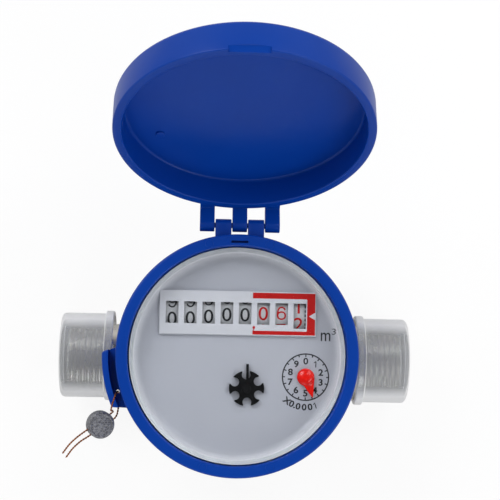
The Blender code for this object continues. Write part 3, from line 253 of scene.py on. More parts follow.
casting = combined(casting, joined, "UNION")
# Inside are the pivot's hole, the chamber, the O-ring's groove and the separating plate's seat
bores = [turned(
    [
        (0, PIVOT_LOW, 0), (PIVOT_R, PIVOT_LOW, 0), (PIVOT_R, CHAMBER_LOW, 0),
        (CHAMBER_R, CHAMBER_LOW, 0.8), (CHAMBER_R, SEAT_Z, 0), (GROOVE_IN, SEAT_Z, 0),
        (GROOVE_IN, GROOVE_LOW, 0), (GROOVE_OUT, GROOVE_LOW, 0), (GROOVE_OUT, SEAT_Z, 0),
        (SEAT_R, SEAT_Z, 0), (SEAT_R, 31, 0), (0, 31, 0),
    ],
    96,
)]
for side in (-1, 1):
    bores.append(rod(BORE_R, 31, 56, 72, along_pipe(side)))
    # A narrow jet goes on from each bore, off the centre, so that the water turns the vanes
    way = Vector((side * JET_WAY[0], JET_WAY[1], 0))
    heading = Vector((0, 0, 1)).rotation_difference(way).to_matrix().to_4x4()
    at_bore = Vector((side * JET_START[0], JET_START[1], PIPE_Z)) * MM
    bores.append(rod(JET_R, 0, way.length, 32, Matrix.Translation(at_bore) @ heading))
casting = combined(casting, bores, "DIFFERENCE")
finished("casting", casting, nickel, "nickel_plated_brass", "root", "meter_body")


# Inlet strainer and impeller: both are moulded in white acetal, which is slightly waxy, with a
# hub of the same piece. The strainer is pressed into the inlet bore. Mould textures here and
# below are drawn coarser than in life, so that they show.
acetal, tree, shader, where = new_material(
    "white_acetal", "E8E9E6", {"Roughness": 0.42, "IOR": 1.48}
)
swirl = add(tree, "TexNoise", {"Vector": where, "Scale": 1 / (6 * MM), "Detail": 2.0})
tone = add(tree, "Mix", {0: swirl.outputs[0], 6: linear("E2E3E0"), 7: linear("EFF0EE")},
           data_type="RGBA")
tree.links.new(tone.outputs[2], shader.inputs["Base Color"])
texture = add(tree, "TexNoise", {"Vector": where, "Scale": 1 / (0.5 * MM), "Detail": 1.0})
skin = add(tree, "Bump", {"Height": texture.outputs[0], "Distance": 0.006 * MM, "Strength": 0.5})
tree.links.new(skin.outputs[0], shader.inputs["Normal"])


def dress(material, *nodes):
    """Gives CAD nodes that keep their shape a better material."""
    for name in nodes:
        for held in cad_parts[name].material_slots:
            held.material = material


dress(acetal, "inlet_strainer", "impeller")


# Drive magnets: pressed rings of sintered ferrite, near black and ground on their faces, one on
# the impeller and one in the dry register that follows it through the plate.
ferrite, tree, shader, where = new_material(
    "sintered_ferrite", "35332F", {"Metallic": 0.25, "Roughness": 0.55}
)
pores = add(tree, "TexVoronoi", {"Vector": where, "Scale": 1 / (0.35 * MM)})
tone = add(tree, "Mix", {0: pores.outputs[0], 6: linear("2A2926"), 7: linear("403D38")},
           data_type="RGBA")
tree.links.new(tone.outputs[2], shader.inputs["Base Color"])
pitting = add(tree, "Bump", {"Height": pores.outputs[0], "Distance": 0.02 * MM, "Strength": 0.4})
tree.links.new(pitting.outputs[0], shader.inputs["Normal"])
dress(ferrite, "impeller_magnet", "follower_magnet")


# Shafts and the hinge pin: stainless steel wire, drawn and cut to length, so fine lines run
# along it.
steel, tree, shader, where = new_material(
    "drawn_stainless_steel", "B9BCBF", {"Metallic": 1.0, "Roughness": 0.25}
)
stretch = add(tree, "Mapping", {"Vector": where, "Scale": (0.08, 1.0, 1.0)})
lines = add(tree, "TexNoise", {"Vector": stretch.outputs[0], "Scale": 1 / (0.15 * MM)})
dull = add(tree, "MapRange", {0: lines.outputs[0], 3: 0.18, 4: 0.36})
tree.links.new(dull.outputs[0], shader.inputs["Roughness"])
dress(steel, "impeller_shaft", "drum_shaft", "pinion_shaft", "hinge_pin")


# Chamber seal: an O-ring of nitrile rubber, moulded in one piece, that lies under the separating
# plate. It is dull black with a little bloom.
nitrile, tree, shader, where = new_material("nitrile_rubber", "232325", {"Roughness": 0.75})
bloom = add(tree, "TexNoise", {"Vector": where, "Scale": 1 / (3 * MM), "Detail": 4.0})
tone = add(tree, "Mix", {0: bloom.outputs[0], 6: linear("1D1D1F"), 7: linear("333336")},
           data_type="RGBA")
tree.links.new(tone.outputs[2], shader.inputs["Base Color"])
dress(nitrile, "chamber_seal")


# Separating plate, register can, gear plate, gear train with its first pinion, and carry
# pinions: moulded in light grey acetal, with a fine spark-eroded texture from the mould.
grey_acetal, tree, shader, where = new_material(
    "grey_acetal", "C4C7CB", {"Roughness": 0.48, "IOR": 1.48}
)
swirl = add(tree, "TexNoise", {"Vector": where, "Scale": 1 / (5 * MM), "Detail": 2.0})
tone = add(tree, "Mix", {0: swirl.outputs[0], 6: linear("BCBFC4"), 7: linear("CDD0D3")},
           data_type="RGBA")
tree.links.new(tone.outputs[2], shader.inputs["Base Color"])
texture = add(tree, "TexNoise", {"Vector": where, "Scale": 1 / (0.3 * MM), "Detail": 1.0})
skin = add(tree, "Bump", {"Height": texture.outputs[0], "Distance": 0.008 * MM, "Strength": 0.5})
tree.links.new(skin.outputs[0], shader.inputs["Normal"])
dress(
    grey_acetal, "separating_plate", "register_can", "gear_plate", "drum_frame", "centre_arbor",
    "star_gear", "middle_gear", "pointer_gear", "worm_gear",
    *[f"transfer_pinion_{number}" for number in range(1, 8)],
)


# Number wheels: white moulded drums on the counter's shaft, each with its ten figures hot
# stamped round the rim. Five count whole cubic metres in black and three count parts in red.
WHEEL_PITCH = 5.71
WHEEL_R = 8.8
RIM_IN = 8.5
WHEEL_WIDTH = 4.2
COUNTER_X = -0.55
COUNTER_Y = 13.3
WHEEL_Z = 41.3
# How tall a figure is, how far it is drawn out sideways, and how thick the print is
FIGURE_SIZE = (4.25, 1.075)
INK = 0.02
PEN = 0.5
# How many figures each wheel has turned past its nought, and the strokes of a nine
READINGS = (-0.365, -0.32, -0.205, -0.08, -0.07, 0.02, 6.06, 1.44)
NINE = (
    (
        (1.19, 0.95), (0.85, 1.62), (0, 1.87), (-0.85, 1.6), (-1.2, 0.75), (-0.85, -0.1),
        (0, -0.37), (0.85, -0.1), (1.19, 0.55),
    ),
    (
        (1.2, 1.1), (1.2, 0), (1, -1.05), (0.5, -1.72), (-0.2, -1.86), (-0.8, -1.55),
        (-1.1, -1),
    ),
)

# The drums' acetal is a greyer white than the impeller's
drum_acetal, tree, shader, where = new_material(
    "drum_acetal", "BFC0C2", {"Roughness": 0.4, "IOR": 1.48}
)
swirl = add(tree, "TexNoise", {"Vector": where, "Scale": 1 / (4 * MM), "Detail": 2.0})
tone = add(tree, "Mix", {0: swirl.outputs[0], 6: linear("B6B7BA"), 7: linear("C8C9CA")},
           data_type="RGBA")
tree.links.new(tone.outputs[2], shader.inputs["Base Color"])

# Stamping foil is thin and a little glossier than the drum under it
black_ink, tree, shader, where = new_material("black_foil", "17181C", {"Roughness": 0.4})
wear = add(tree, "TexNoise", {"Vector": where, "Scale": 1 / (0.8 * MM), "Detail": 2.0})
tone = add(tree, "Mix", {0: wear.outputs[0], 6: linear("121317"), 7: linear("24262B")},
           data_type="RGBA")
tree.links.new(tone.outputs[2], shader.inputs["Base Color"])
red_ink, tree, shader, where = new_material(
    "red_foil", "C00C0A", {"Roughness": 0.4, "Specular IOR Level": 0.3}
)
wear = add(tree, "TexNoise", {"Vector": where, "Scale": 1 / (0.8 * MM), "Detail": 2.0})
tone = add(tree, "Mix", {0: wear.outputs[0], 6: linear("B80806"), 7: linear("C81010")},
           data_type="RGBA")
tree.links.new(tone.outputs[2], shader.inputs["Base Color"])


def lettering(text, high, stretch, weight=0.03):
    """Generic type as a thin solid centred on the origin, figures that high, drawn out sideways."""
    curve = bpy.data.curves.new("type", "FONT")
    curve.body = text
    curve.size = high * MM / 0.7
    curve.offset = weight * MM
    curve.resolution_u = 6
    curve.extrude = INK * MM / 2
    holder = bpy.data.objects.new("type", curve)
    bpy.context.scene.collection.objects.link(holder)
    mesh = holder.to_mesh(depsgraph=bpy.context.evaluated_depsgraph_get())
    bm = bmesh.new()
    bm.from_mesh(mesh)
    holder.to_mesh_clear()
    bpy.data.objects.remove(holder, do_unlink=True)
    bmesh.ops.remove_doubles(bm, verts=bm.verts, dist=0.000001)
    middle = []
    for axis in range(3):
        spread = [vert.co[axis] for vert in bm.verts]
        middle.append((min(spread) + max(spread)) / 2)
    bmesh.ops.translate(bm, verts=bm.verts, vec=-Vector(middle))
    bmesh.ops.scale(bm, verts=bm.verts, vec=(stretch, 1, 1))
    return bm


def gathered(shapes):
    """Several loose shapes as one."""
    whole = bmesh.new()
    for shape in shapes:
        mesh = bpy.data.meshes.new("part")
        shape.to_mesh(mesh)
        shape.free()
        whole.from_mesh(mesh)
        bpy.data.meshes.remove(mesh)
    return whole


def slab(corners, low, high, edge=0.0, place=Matrix()):
    """A flat outline raised from one height to another, with its rims rounded over."""
    bm = drawn(corners, flat=True)
    bmesh.ops.contextual_create(bm, geom=bm.edges[:])
    bmesh.ops.translate(bm, verts=bm.verts, vec=(0, 0, low * MM))
    raised = bmesh.ops.extrude_face_region(bm, geom=bm.faces[:])["geom"]
    top = [part for part in raised if isinstance(part, bmesh.types.BMVert)]
    bmesh.ops.translate(bm, verts=top, vec=(0, 0, (high - low) * MM))
    bmesh.ops.recalc_face_normals(bm, faces=bm.faces)
    if edge:
        rims = [e for e in bm.edges if abs(e.verts[0].co.z - e.verts[1].co.z) < MM / 1000]
        bmesh.ops.bevel(
            bm, geom=rims, offset=edge * MM, offset_type="OFFSET", segments=3, profile=0.5,
            affect="EDGES", material=-1,
        )
    bmesh.ops.transform(bm, matrix=place, verts=bm.verts)
    bmesh.ops.recalc_face_normals(bm, faces=bm.faces)
    return bm


def smoothed(points, steps):
    """Points on a smooth curve through the given points."""
    ends = [points[0] * 2 - points[1], *points, points[-1] * 2 - points[-2]]
    fine = []
    for before, a, b, after in zip(ends, ends[1:], ends[2:], ends[3:]):
        for step in range(steps):
            t = step / steps
            bend = (2 * a) + (b - before) * t
            bend += (2 * before - 5 * a + 4 * b - after) * t**2
            bend += (3 * a - before - 3 * b + after) * t**3
            fine.append(bend / 2)
    fine.append(points[-1])
    return fine


def stroke(points, wide):
    """A pen stroke of even width along a smooth line, as a thin solid."""
    line = smoothed([Vector((*point, 0)) for point in points], 6)
    left = []
    right = []
    for place, spot in enumerate(line):
        ahead = line[min(place + 1, len(line) - 1)] - line[max(place - 1, 0)]
        aside = Vector((-ahead.y, ahead.x, 0)).normalized() * wide / 2
        left.append(spot + aside)
        right.append(spot - aside)
    return slab([(spot.x, spot.y, 0) for spot in left + right[::-1]], -INK / 2, INK / 2)


def block(low, high, edge=0.0, place=Matrix()):
    """A rectangular piece between two corners."""
    corners = [(low[0], low[1], 0), (high[0], low[1], 0), (high[0], high[1], 0), (low[0], high[1], 0)]
    return slab(corners, low[2], high[2], edge, place)


def stamped(shape, x, angle, radius):
    """Bends a flat shape round a drum on the counter's axis, at an angle down from the top."""
    # It is cut across every 0.4 mm first, so that it bends smoothly
    for slice_at in range(-6, 7):
        bmesh.ops.bisect_plane(
            shape, geom=shape.verts[:] + shape.edges[:] + shape.faces[:],
            plane_co=(0, slice_at * 0.4 * MM, 0), plane_no=(0, 1, 0),
        )
    for vert in shape.verts:
        turn = angle - vert.co.y / (radius * MM)
        out = radius * MM + vert.co.z
        vert.co = (
            x * MM + vert.co.x,
            COUNTER_Y * MM - out * math.sin(turn),
            WHEEL_Z * MM + out * math.cos(turn),
        )
    return shape


dress(drum_acetal, *[f"number_wheel_{number}" for number in range(1, 9)])
for number in range(1, 9):
    x = COUNTER_X + (number - 4.5) * WHEEL_PITCH
    half = WHEEL_WIDTH / 2
    axis = Matrix.Translation(Vector((x, COUNTER_Y, WHEEL_Z)) * MM) @ ALONG_X
    rim = turned(
        [(RIM_IN, -half, 0), (WHEEL_R, -half, 0.15), (WHEEL_R, half, 0.15), (RIM_IN, half, 0)],
        120, axis,
    )
    finished(f"wheel_{number}_rim", rim, drum_acetal, "white_plastic", f"wheel_{number}")
    marks = []
    for figure in range(10):
        down = math.radians(36 * (figure - READINGS[number - 1]))
        # The last wheel's figures make room for its ticks
        aside = -0.3 if number == 8 else 0
        # The nine has a curled tail, and the six is the nine turned over
        if figure in (6, 9):
            shape = gathered([stroke(line, PEN) for line in NINE])
            over = Matrix.Rotation(math.pi if figure == 6 else 0, 3, "Z")
            bmesh.ops.rotate(shape, verts=shape.verts, matrix=over)
        else:
            shape = lettering(str(figure), *FIGURE_SIZE)
        marks.append(stamped(shape, x + aside, down, WHEEL_R))
    ink = black_ink if number <= 5 else red_ink
    finished(f"wheel_{number}_figures", gathered(marks), ink, "black_plastic", f"wheel_{number}")
# Ticks, four to a figure, run round the last wheel beside its figures
ticks = []
for tick in range(40):
    bar = block((-0.175, -0.375, -INK / 2), (0.175, 0.375, INK / 2))
    down = math.radians(9 * (tick - 4 * READINGS[7]))
    ticks.append(stamped(bar, COUNTER_X + 3.5 * WHEEL_PITCH + 1.75, down, WHEEL_R))
finished("wheel_8_ticks", gathered(ticks), black_ink, "black_plastic", "wheel_8")


# Dial: a dish moulded in white ABS, in one piece with the raised counter panel. Its flat has a fine
# satin texture.
# The wall rises from it in a wide smooth curve to just under the lens. The panel and the wall carry
# painted
# light: their colour is made lighter with height, for the light they catch.
DIAL_Z = 50
DIAL_UNDER = 48.8
DISH_TOP = 53.8
CAN_R = 33.4
DISH_IN = 32.2
DISH_FILLET = 2.8
PANEL_TOP = 51.2
PANEL_END = 24.5
PANEL_FRONT = 6.4
PANEL_BACK = 20.2
PANEL_WALL = 0.8
WINDOW_X = 1.975
WINDOW_Y = 3.425
ARBOR_R = 0.9
STAR_AT = (3.18, -10.06)
POINTER_AT = (21.6, -6.2)

abs_white, tree, shader, where = new_material(
    "white_abs", "BEC0C8", {"Roughness": 0.33, "IOR": 1.53}
)
swirl = add(tree, "TexNoise", {"Vector": where, "Scale": 1 / (15 * MM), "Detail": 2.0})
tone = add(tree, "Mix", {0: swirl.outputs[0], 6: linear("B4B6BE"), 7: linear("BCBEC6")},
           data_type="RGBA")
height = add(tree, "SeparateXYZ", {0: where})
# Painted light: the raised panel is painted lighter, and the dish's wall higher up lighter still, for
# the light they catch
raised = add(tree, "MapRange", {0: height.outputs[2], 1: 50.2 * MM, 2: 51.1 * MM, 3: 0.0, 4: 1.0})
panel_painted_light = add(tree, "Mix", {0: raised.outputs[0], 6: tone.outputs[2], 7: linear("D6D7DC")},
             data_type="RGBA")
rising = add(tree, "MapRange", {0: height.outputs[2], 1: 51.3 * MM, 2: 52.6 * MM, 3: 0.0, 4: 1.0})
wall_painted_light = add(tree, "Mix", {0: rising.outputs[0], 6: panel_painted_light.outputs[2], 7: linear("F2F3F6")},
             data_type="RGBA")
tree.links.new(wall_painted_light.outputs[2], shader.inputs["Base Color"])
texture = add(tree, "TexNoise", {"Vector": where, "Scale": 1 / (0.25 * MM), "Detail": 1.0})
skin = add(tree, "Bump", {"Height": texture.outputs[0], "Distance": 0.005 * MM, "Strength": 0.5})
tree.links.new(skin.outputs[0], shader.inputs["Normal"])

dial = turned(
    [
        (0, DIAL_UNDER, 0), (CAN_R, DIAL_UNDER, 0.2), (CAN_R, DISH_TOP, 0.2),
        (DISH_IN, DISH_TOP, 0.3), (DISH_IN, DIAL_Z, DISH_FILLET),
        (DISH_IN - DISH_FILLET - 0.3, DIAL_Z, 0), (0, DIAL_Z, 0),
    ],
    192,
)
panel = block((-PANEL_END, PANEL_FRONT, 49.5), (PANEL_END, PANEL_BACK, PANEL_TOP), 0.25)
dial = combined(dial, [panel], "UNION")
openings = [block(
    (PANEL_WALL - PANEL_END, PANEL_FRONT + PANEL_WALL, 48),
    (PANEL_END - PANEL_WALL, PANEL_BACK - PANEL_WALL, 50.4),
)]
for number in range(8):
    x = COUNTER_X + (number - 3.5) * WHEEL_PITCH
    # The last window is longer than the others
    extra = 1.05 if number == 7 else 0
    openings.append(slab(
        [
            (x - WINDOW_X, COUNTER_Y - WINDOW_Y - extra, 0.15),
            (x + WINDOW_X, COUNTER_Y - WINDOW_Y - extra, 0.15),
            (x + WINDOW_X, COUNTER_Y + WINDOW_Y, 0.15), (x - WINDOW_X, COUNTER_Y + WINDOW_Y, 0.15),
        ],
        49.6, 52,
    ))
for x, y in (STAR_AT, POINTER_AT):
    openings.append(rod(ARBOR_R, 48, 51, 32, Matrix.Translation((x * MM, y * MM, 0))))
dial = combined(dial, openings, "DIFFERENCE")
finished("dial_dish", dial, abs_white, "white_plastic", "root", "dial_plate")


# Printing on the dial: pad-printed ink, black for the pointer's scale and its unit, red for the
# frame that marks the parts of a cubic metre.
SCALE_IN = 7.01
SCALE_OUT = 7.42
FIGURE_RING = 5
FACTOR_RING = 9.35


def laid(shape, x, y, height):
    """Puts a flat shape on the dial, following the dish's curve where it is near the wall."""
    for vert in shape.verts:
        vert.co.x += x * MM
        vert.co.y += y * MM
        past = vert.co.xy.length / MM - (DISH_IN - DISH_FILLET)
        rise = DISH_FILLET - math.sqrt(DISH_FILLET**2 - past**2) if past > 0 else 0
        vert.co.z += (height + rise) * MM
    return shape


# The dial's own one has a flag, unlike the plain bar of the wheels' type
FLAGGED_ONE = [
    (0.25, 0), (0.25, 0.69), (0.18, 0.69), (0, 0.55), (0, 0.455), (0.15, 0.56), (0.15, 0),
]


def dial_figure(letter, high, stretch):
    """One printed letter; a one is drawn here and the rest is type."""
    if letter != "1":
        return lettering(letter, high, stretch, 0.085)
    size = high / 0.69
    outline = [((x - 0.125) * size * stretch, (y - 0.345) * size, 0) for x, y in FLAGGED_ONE]
    return slab(outline, -INK / 2, INK / 2)


printed = []
circle = turned(
    [
        (SCALE_IN, -INK / 2, 0), (SCALE_OUT, -INK / 2, 0), (SCALE_OUT, INK / 2, 0),
        (SCALE_IN, INK / 2, 0),
    ],
    120,
)
printed.append(laid(circle, *POINTER_AT, DIAL_Z))
# Every second tick stands at a figure and is a little longer
for tick in range(20):
    reach = 6.3 if tick % 2 == 0 else 6.45
    bar = block((-0.18, reach, -INK / 2), (0.18, 7.2, INK / 2))
    turn = Matrix.Rotation(tick * TURN / 20, 4, "Z")
    bmesh.ops.transform(bar, matrix=turn, verts=bar.verts)
    printed.append(laid(bar, *POINTER_AT, DIAL_Z))
for figure in range(10):
    around = math.radians(90 - 36 * figure)
    x = POINTER_AT[0] + FIGURE_RING * math.cos(around)
    y = POINTER_AT[1] + FIGURE_RING * math.sin(around)
    printed.append(laid(dial_figure(str(figure), 1.95, 1.1), x, y, DIAL_Z))
for letter, degrees in zip("X0.0001", (-127.4, -116.8, -110.2, -103.6, -91.8, -80.4, -71.2)):
    around = math.radians(degrees)
    shape = dial_figure(letter, 1.9, 1.1)
    if letter == ".":
        bmesh.ops.translate(shape, verts=shape.verts, vec=(0, -0.75 * MM, 0))
    turn = Matrix.Rotation(around + math.pi / 2, 4, "Z")
    bmesh.ops.transform(shape, matrix=turn, verts=shape.verts)
    x = POINTER_AT[0] + FACTOR_RING * math.cos(around)
    y = POINTER_AT[1] + FACTOR_RING * math.sin(around)
    printed.append(laid(shape, x, y, DIAL_Z))
printed.append(laid(lettering("m", 4, 0.8), 27.7, 6.5, DIAL_Z))
printed.append(laid(lettering("3", 1.9, 1.2, 0), 30.2, 8.15, DIAL_Z))
finished("dial_print", gathered(printed), black_ink, "black_plastic", "root")

red_frame = slab(
    [
        (4.65, 19.85, 0.1), (4.65, 18.05, 0.1), (21.7, 18.05, 0.3), (21.7, 7.95, 0.3),
        (4.65, 7.95, 0.1), (4.65, 6.75, 0.1), (24.24, 6.75, 0.1), (24.24, 11.6, 0),
        (22.3, 12.75, 0), (24.24, 13.9, 0), (24.24, 19.85, 0.1),
    ],
    PANEL_TOP - INK / 2, PANEL_TOP + INK / 2,
)
comma = slab(
    [
        (4.66, 8.56, 0.3), (4.66, 9.4, 0.35), (5.46, 9.4, 0.35), (5.46, 8.7, 0.3),
        (4.9, 7.9, 0.05), (4.68, 8.02, 0.05), (5, 8.5, 0.1),
    ],
    PANEL_TOP - INK / 2, PANEL_TOP + INK / 2,
)
finished("red_frame", gathered([red_frame, comma]), red_ink, "red_plastic", "root")


# Flow star: a small wheel moulded in black acetal, nearly matt, that turns at the least trickle.
# Six round-ended notches leave six flared points, and a thin spike stands in the top notch.
STAR_R = 5.5
STAR_LOW = 50.4
STAR_TOP = 51.4
NOTCH_R = 1.36
NOTCH_OUT = 4.2
MOUTH = 1.2

black_acetal, tree, shader, where = new_material(
    "black_acetal", "08090B", {"Roughness": 0.38, "IOR": 1.48, "Specular IOR Level": 0.2}
)
texture = add(tree, "TexNoise", {"Vector": where, "Scale": 1 / (0.3 * MM), "Detail": 1.0})
skin = add(tree, "Bump", {"Height": texture.outputs[0], "Distance": 0.006 * MM, "Strength": 0.5})
tree.links.new(skin.outputs[0], shader.inputs["Normal"])
dull = add(tree, "MapRange", {0: texture.outputs[0], 3: 0.32, 4: 0.46})
tree.links.new(dull.outputs[0], shader.inputs["Roughness"])
at_star = Matrix.Translation(Vector((*STAR_AT, 0)) * MM)
star = turned(
    [(0, STAR_LOW, 0), (STAR_R, STAR_LOW, 0.1), (STAR_R, STAR_TOP, 0.15), (0, STAR_TOP, 0)],
    120, at_star,
)
notches = []
for number in range(6):
    around = at_star @ Matrix.Rotation(math.radians(92.5 + 60 * number), 4, "Z")
    out = Matrix.Translation((NOTCH_OUT * MM, 0, 0))
    notches.append(rod(NOTCH_R, 50, 52, 40, around @ out))
    notches.append(block((NOTCH_OUT, -MOUTH, 50), (6, MOUTH, 52), 0, around))
star = combined(star, notches, "DIFFERENCE")
spike = block((-0.2, 2.6, 50.7), (0.6, 7.55, 51.1), 0.08, at_star)
boss = turned([(0, 51.2, 0), (1.5, 51.2, 0), (1.3, 51.75, 0.25), (0, 51.8, 0)], 48, at_star)
star = combined(star, [spike, boss], "UNION")
finished("flow_star_wheel", star, black_acetal, "black_plastic", "star", "flow_star")


# Red pointer: moulded in glossy red polystyrene, a domed hub drawn out to a point that sweeps
# the small scale.
HUB_R = 2.73

red_plastic, tree, shader, where = new_material(
    "red_polystyrene", "F0160A", {"Roughness": 0.2, "IOR": 1.55, "Specular IOR Level": 0.4}
)
swirl = add(tree, "TexNoise", {"Vector": where, "Scale": 1 / (2 * MM), "Detail": 2.0})
tone = add(tree, "Mix", {0: swirl.outputs[0], 6: linear("EC1208"), 7: linear("F61C10")},
           data_type="RGBA")
tree.links.new(tone.outputs[2], shader.inputs["Base Color"])
at_pointer = Matrix.Translation(Vector((*POINTER_AT, 0)) * MM) @ Matrix.Rotation(
    math.radians(-70.5), 4, "Z"
)
pointer = slab(
    [
        (6.68, 0.1, 0), (6.68, -0.06, 0), (5.13, -0.62, 0.5), (3.2, -1.2, 0.5), (2.6, -1.3, 0.4),
        (1.87, -1.83, 0), (0, -1.5, 0), (0, 2, 0), (1.1, 2.5, 0),
    ],
    50.4, 51.3, 0.1, at_pointer,
)
hub = turned(
    [(0, 50.45, 0), (HUB_R, 50.45, 0.1), (HUB_R, 51.1, 0.4), (1.9, 51.85, 1), (0, 52.2, 0)],
    96, at_pointer,
)
pointer = combined(pointer, [hub], "UNION")
pointer = combined(pointer, [rod(ARBOR_R, 50, 51.5, 24, at_pointer)], "DIFFERENCE")
finished("pointer_hand", pointer, red_plastic, "red_plastic", "pointer", "red_pointer", sharp=50)


# Lens and its gasket: a clear polycarbonate disc with a polished bevel, on a flat ring of
# translucent silicone that keeps the register dry.
GASKET_LOW = 54.1
GASKET_TOP = 54.7
LENS_LOW = 55
LENS_TOP = 57.2

silicone, tree, shader, where = new_material("silicone", "DEE1E3", {"Roughness": 0.6})
haze = add(tree, "TexNoise", {"Vector": where, "Scale": 1 / (2 * MM), "Detail": 2.0})
tone = add(tree, "Mix", {0: haze.outputs[0], 6: linear("D6DADD"), 7: linear("E6E9EA")},
           data_type="RGBA")
tree.links.new(tone.outputs[2], shader.inputs["Base Color"])
gasket = turned(
    [
        (DISH_IN, GASKET_LOW, 0.1), (CAN_R, GASKET_LOW, 0.1), (CAN_R, GASKET_TOP, 0.1),
        (DISH_IN, GASKET_TOP, 0.1),
    ],
    192,
)
finished("silicone_ring", gasket, silicone, "silicone", "root", "lens_gasket")

# Polycarbonate is clear and glossy. Lamps shine straight through, as they do through thin plastic
clear = bpy.data.materials.new("clear_polycarbonate")
clear.use_nodes = True
tree = clear.node_tree
tree.nodes.clear()
glass = add(tree, "BsdfPrincipled", {
    "Base Color": linear("FBFCFD"), "Transmission Weight": 1.0, "Roughness": 0.02, "IOR": 1.5,
})
through = add(tree, "BsdfTransparent", {"Color": linear("F6F8FA")})
rays = add(tree, "LightPath")
both = add(tree, "MixShader", {
    0: rays.outputs["Is Shadow Ray"], 1: glass.outputs[0], 2: through.outputs[0],
})
add(tree, "OutputMaterial", {"Surface": both.outputs[0]})
lens = turned(
    [
        (0, LENS_LOW, 0), (CAN_R - 0.15, LENS_LOW, 0), (CAN_R, LENS_LOW + 0.15, 0),
        (CAN_R, LENS_TOP - 0.5, 0), (CAN_R - 0.5, LENS_TOP, 0), (0, LENS_TOP, 0),
    ],
    192,
)
finished("clear_lens", lens, clear, "clear_lens", "root", "lens")


# Shroud ring: blue ABS, moulded with its two hinge knuckles and the seal lug, and snapped over
# the casting's flange. Its mould leaves a soft sheen and four faint round ejector marks on top.
RING_R = 37.49
RING_IN = 33.9
RING_LOW = 27.8
RING_TOP = 58.5
LUG_OUT = 41.8
LUG_IN = 36.5
LUG_LOW = 48
LUG_TOP = 56
POCKET_IN = 37.65
POCKET_OUT = 39.9
KNUCKLE_ROOT = 35.4
PIN_HOLE_R = 1.15
HINGE_Y = 40.6
HINGE_Z = 53.9
BARREL_R = 2

blue_abs, tree, shader, where = new_material(
    "blue_abs", "003FA5", {"Roughness": 0.24, "IOR": 1.53, "Specular IOR Level": 0.22}
)
swirl = add(tree, "TexNoise", {"Vector": where, "Scale": 1 / (14 * MM), "Detail": 3.0})
tone = add(tree, "Mix", {0: swirl.outputs[0], 6: linear("003CA0"), 7: linear("0042AB")},
           data_type="RGBA")
tree.links.new(tone.outputs[2], shader.inputs["Base Color"])
texture = add(tree, "TexNoise", {"Vector": where, "Scale": 1 / (0.4 * MM), "Detail": 1.0})
skin = add(tree, "Bump", {"Height": texture.outputs[0], "Distance": 0.006 * MM, "Strength": 0.5})
tree.links.new(skin.outputs[0], shader.inputs["Normal"])
dull = add(tree, "MapRange", {0: swirl.outputs[0], 3: 0.28, 4: 0.36})
tree.links.new(dull.outputs[0], shader.inputs["Roughness"])

ring = turned(
    [
        (34.9, RING_LOW, 0.2), (RING_R, RING_LOW, 0.5), (RING_R, RING_TOP, 0.6),
        (RING_IN, RING_TOP, 0.5), (RING_IN, 34.7, 0.2), (34.9, 33.7, 0.2), (34.9, 28.6, 0),
        (34.3, 28.6, 0), (34.3, 28.2, 0), (34.9, 28.2, 0),
    ],
    224,
)
knuckle = [
    (KNUCKLE_ROOT, HINGE_Z + BARREL_R, 0), (KNUCKLE_ROOT, HINGE_Z - BARREL_R, 0),
    (HINGE_Y + BARREL_R, HINGE_Z - BARREL_R, 1.95), (HINGE_Y + BARREL_R, HINGE_Z + BARREL_R, 1.95),
]
extras = [slab(knuckle, low, low + 5, 0.25, ALONG_X) for low in (-7.6, 2.6)]
lug = []
for step in range(8):
    around = math.radians(179.5 + 23.9 * step / 7)
    end = 0.6 if step in (0, 7) else 0
    lug.append((LUG_OUT * math.cos(around), LUG_OUT * math.sin(around), end))
for step in range(8):
    around = math.radians(207.5 - 31.5 * step / 7)
    lug.append((LUG_IN * math.cos(around), LUG_IN * math.sin(around), 0))
extras.append(slab(lug, LUG_LOW, LUG_TOP, 0.35))
ring = combined(ring, extras, "UNION")

pocket = drawn([(POCKET_IN, 50, 0.3), (POCKET_OUT, 50, 0.3), (POCKET_OUT, 57, 0), (POCKET_IN, 57, 0)])
bmesh.ops.contextual_create(pocket, geom=pocket.edges[:])
bmesh.ops.rotate(
    pocket, verts=pocket.verts, cent=(0, 0, 0), matrix=Matrix.Rotation(math.radians(175), 3, "Z")
)
bmesh.ops.spin(
    pocket, geom=pocket.verts[:] + pocket.edges[:] + pocket.faces[:], cent=(0, 0, 0),
    axis=(0, 0, 1), angle=math.radians(34), steps=34,
)
bmesh.ops.recalc_face_normals(pocket, faces=pocket.faces)
pin_hole = Matrix.Translation(Vector((0, HINGE_Y, HINGE_Z)) * MM) @ ALONG_X
wire_hole = Matrix.Rotation(math.radians(197.7), 4, "Z") @ Matrix.Translation((38.7 * MM, 0, 0))
# Cut out are the pocket behind the lug's wall, the pin's hole, the wire's hole and a small slot
cutters = [
    pocket, rod(PIN_HOLE_R, -9, 9, 32, pin_hole), rod(0.55, 47, 51, 32, wire_hole),
    block((-2.6, 34.75, 57), (2.6, 35.45, 59.5)),
]
for around in (-106.3, -72.9, 105.3, 74.8):
    mark = Matrix.Rotation(math.radians(around), 4, "Z") @ Matrix.Translation((35.6 * MM, 0, 0))
    cutters.append(turned(
        [(0, 58.4, 0), (1.25, 58.4, 0), (1.3, 58.6, 0), (0, 58.6, 0)], 40, mark
    ))
ring = combined(ring, cutters, "DIFFERENCE")
finished("shroud_ring", ring, blue_abs, "blue_plastic", "root", "lock_ring")


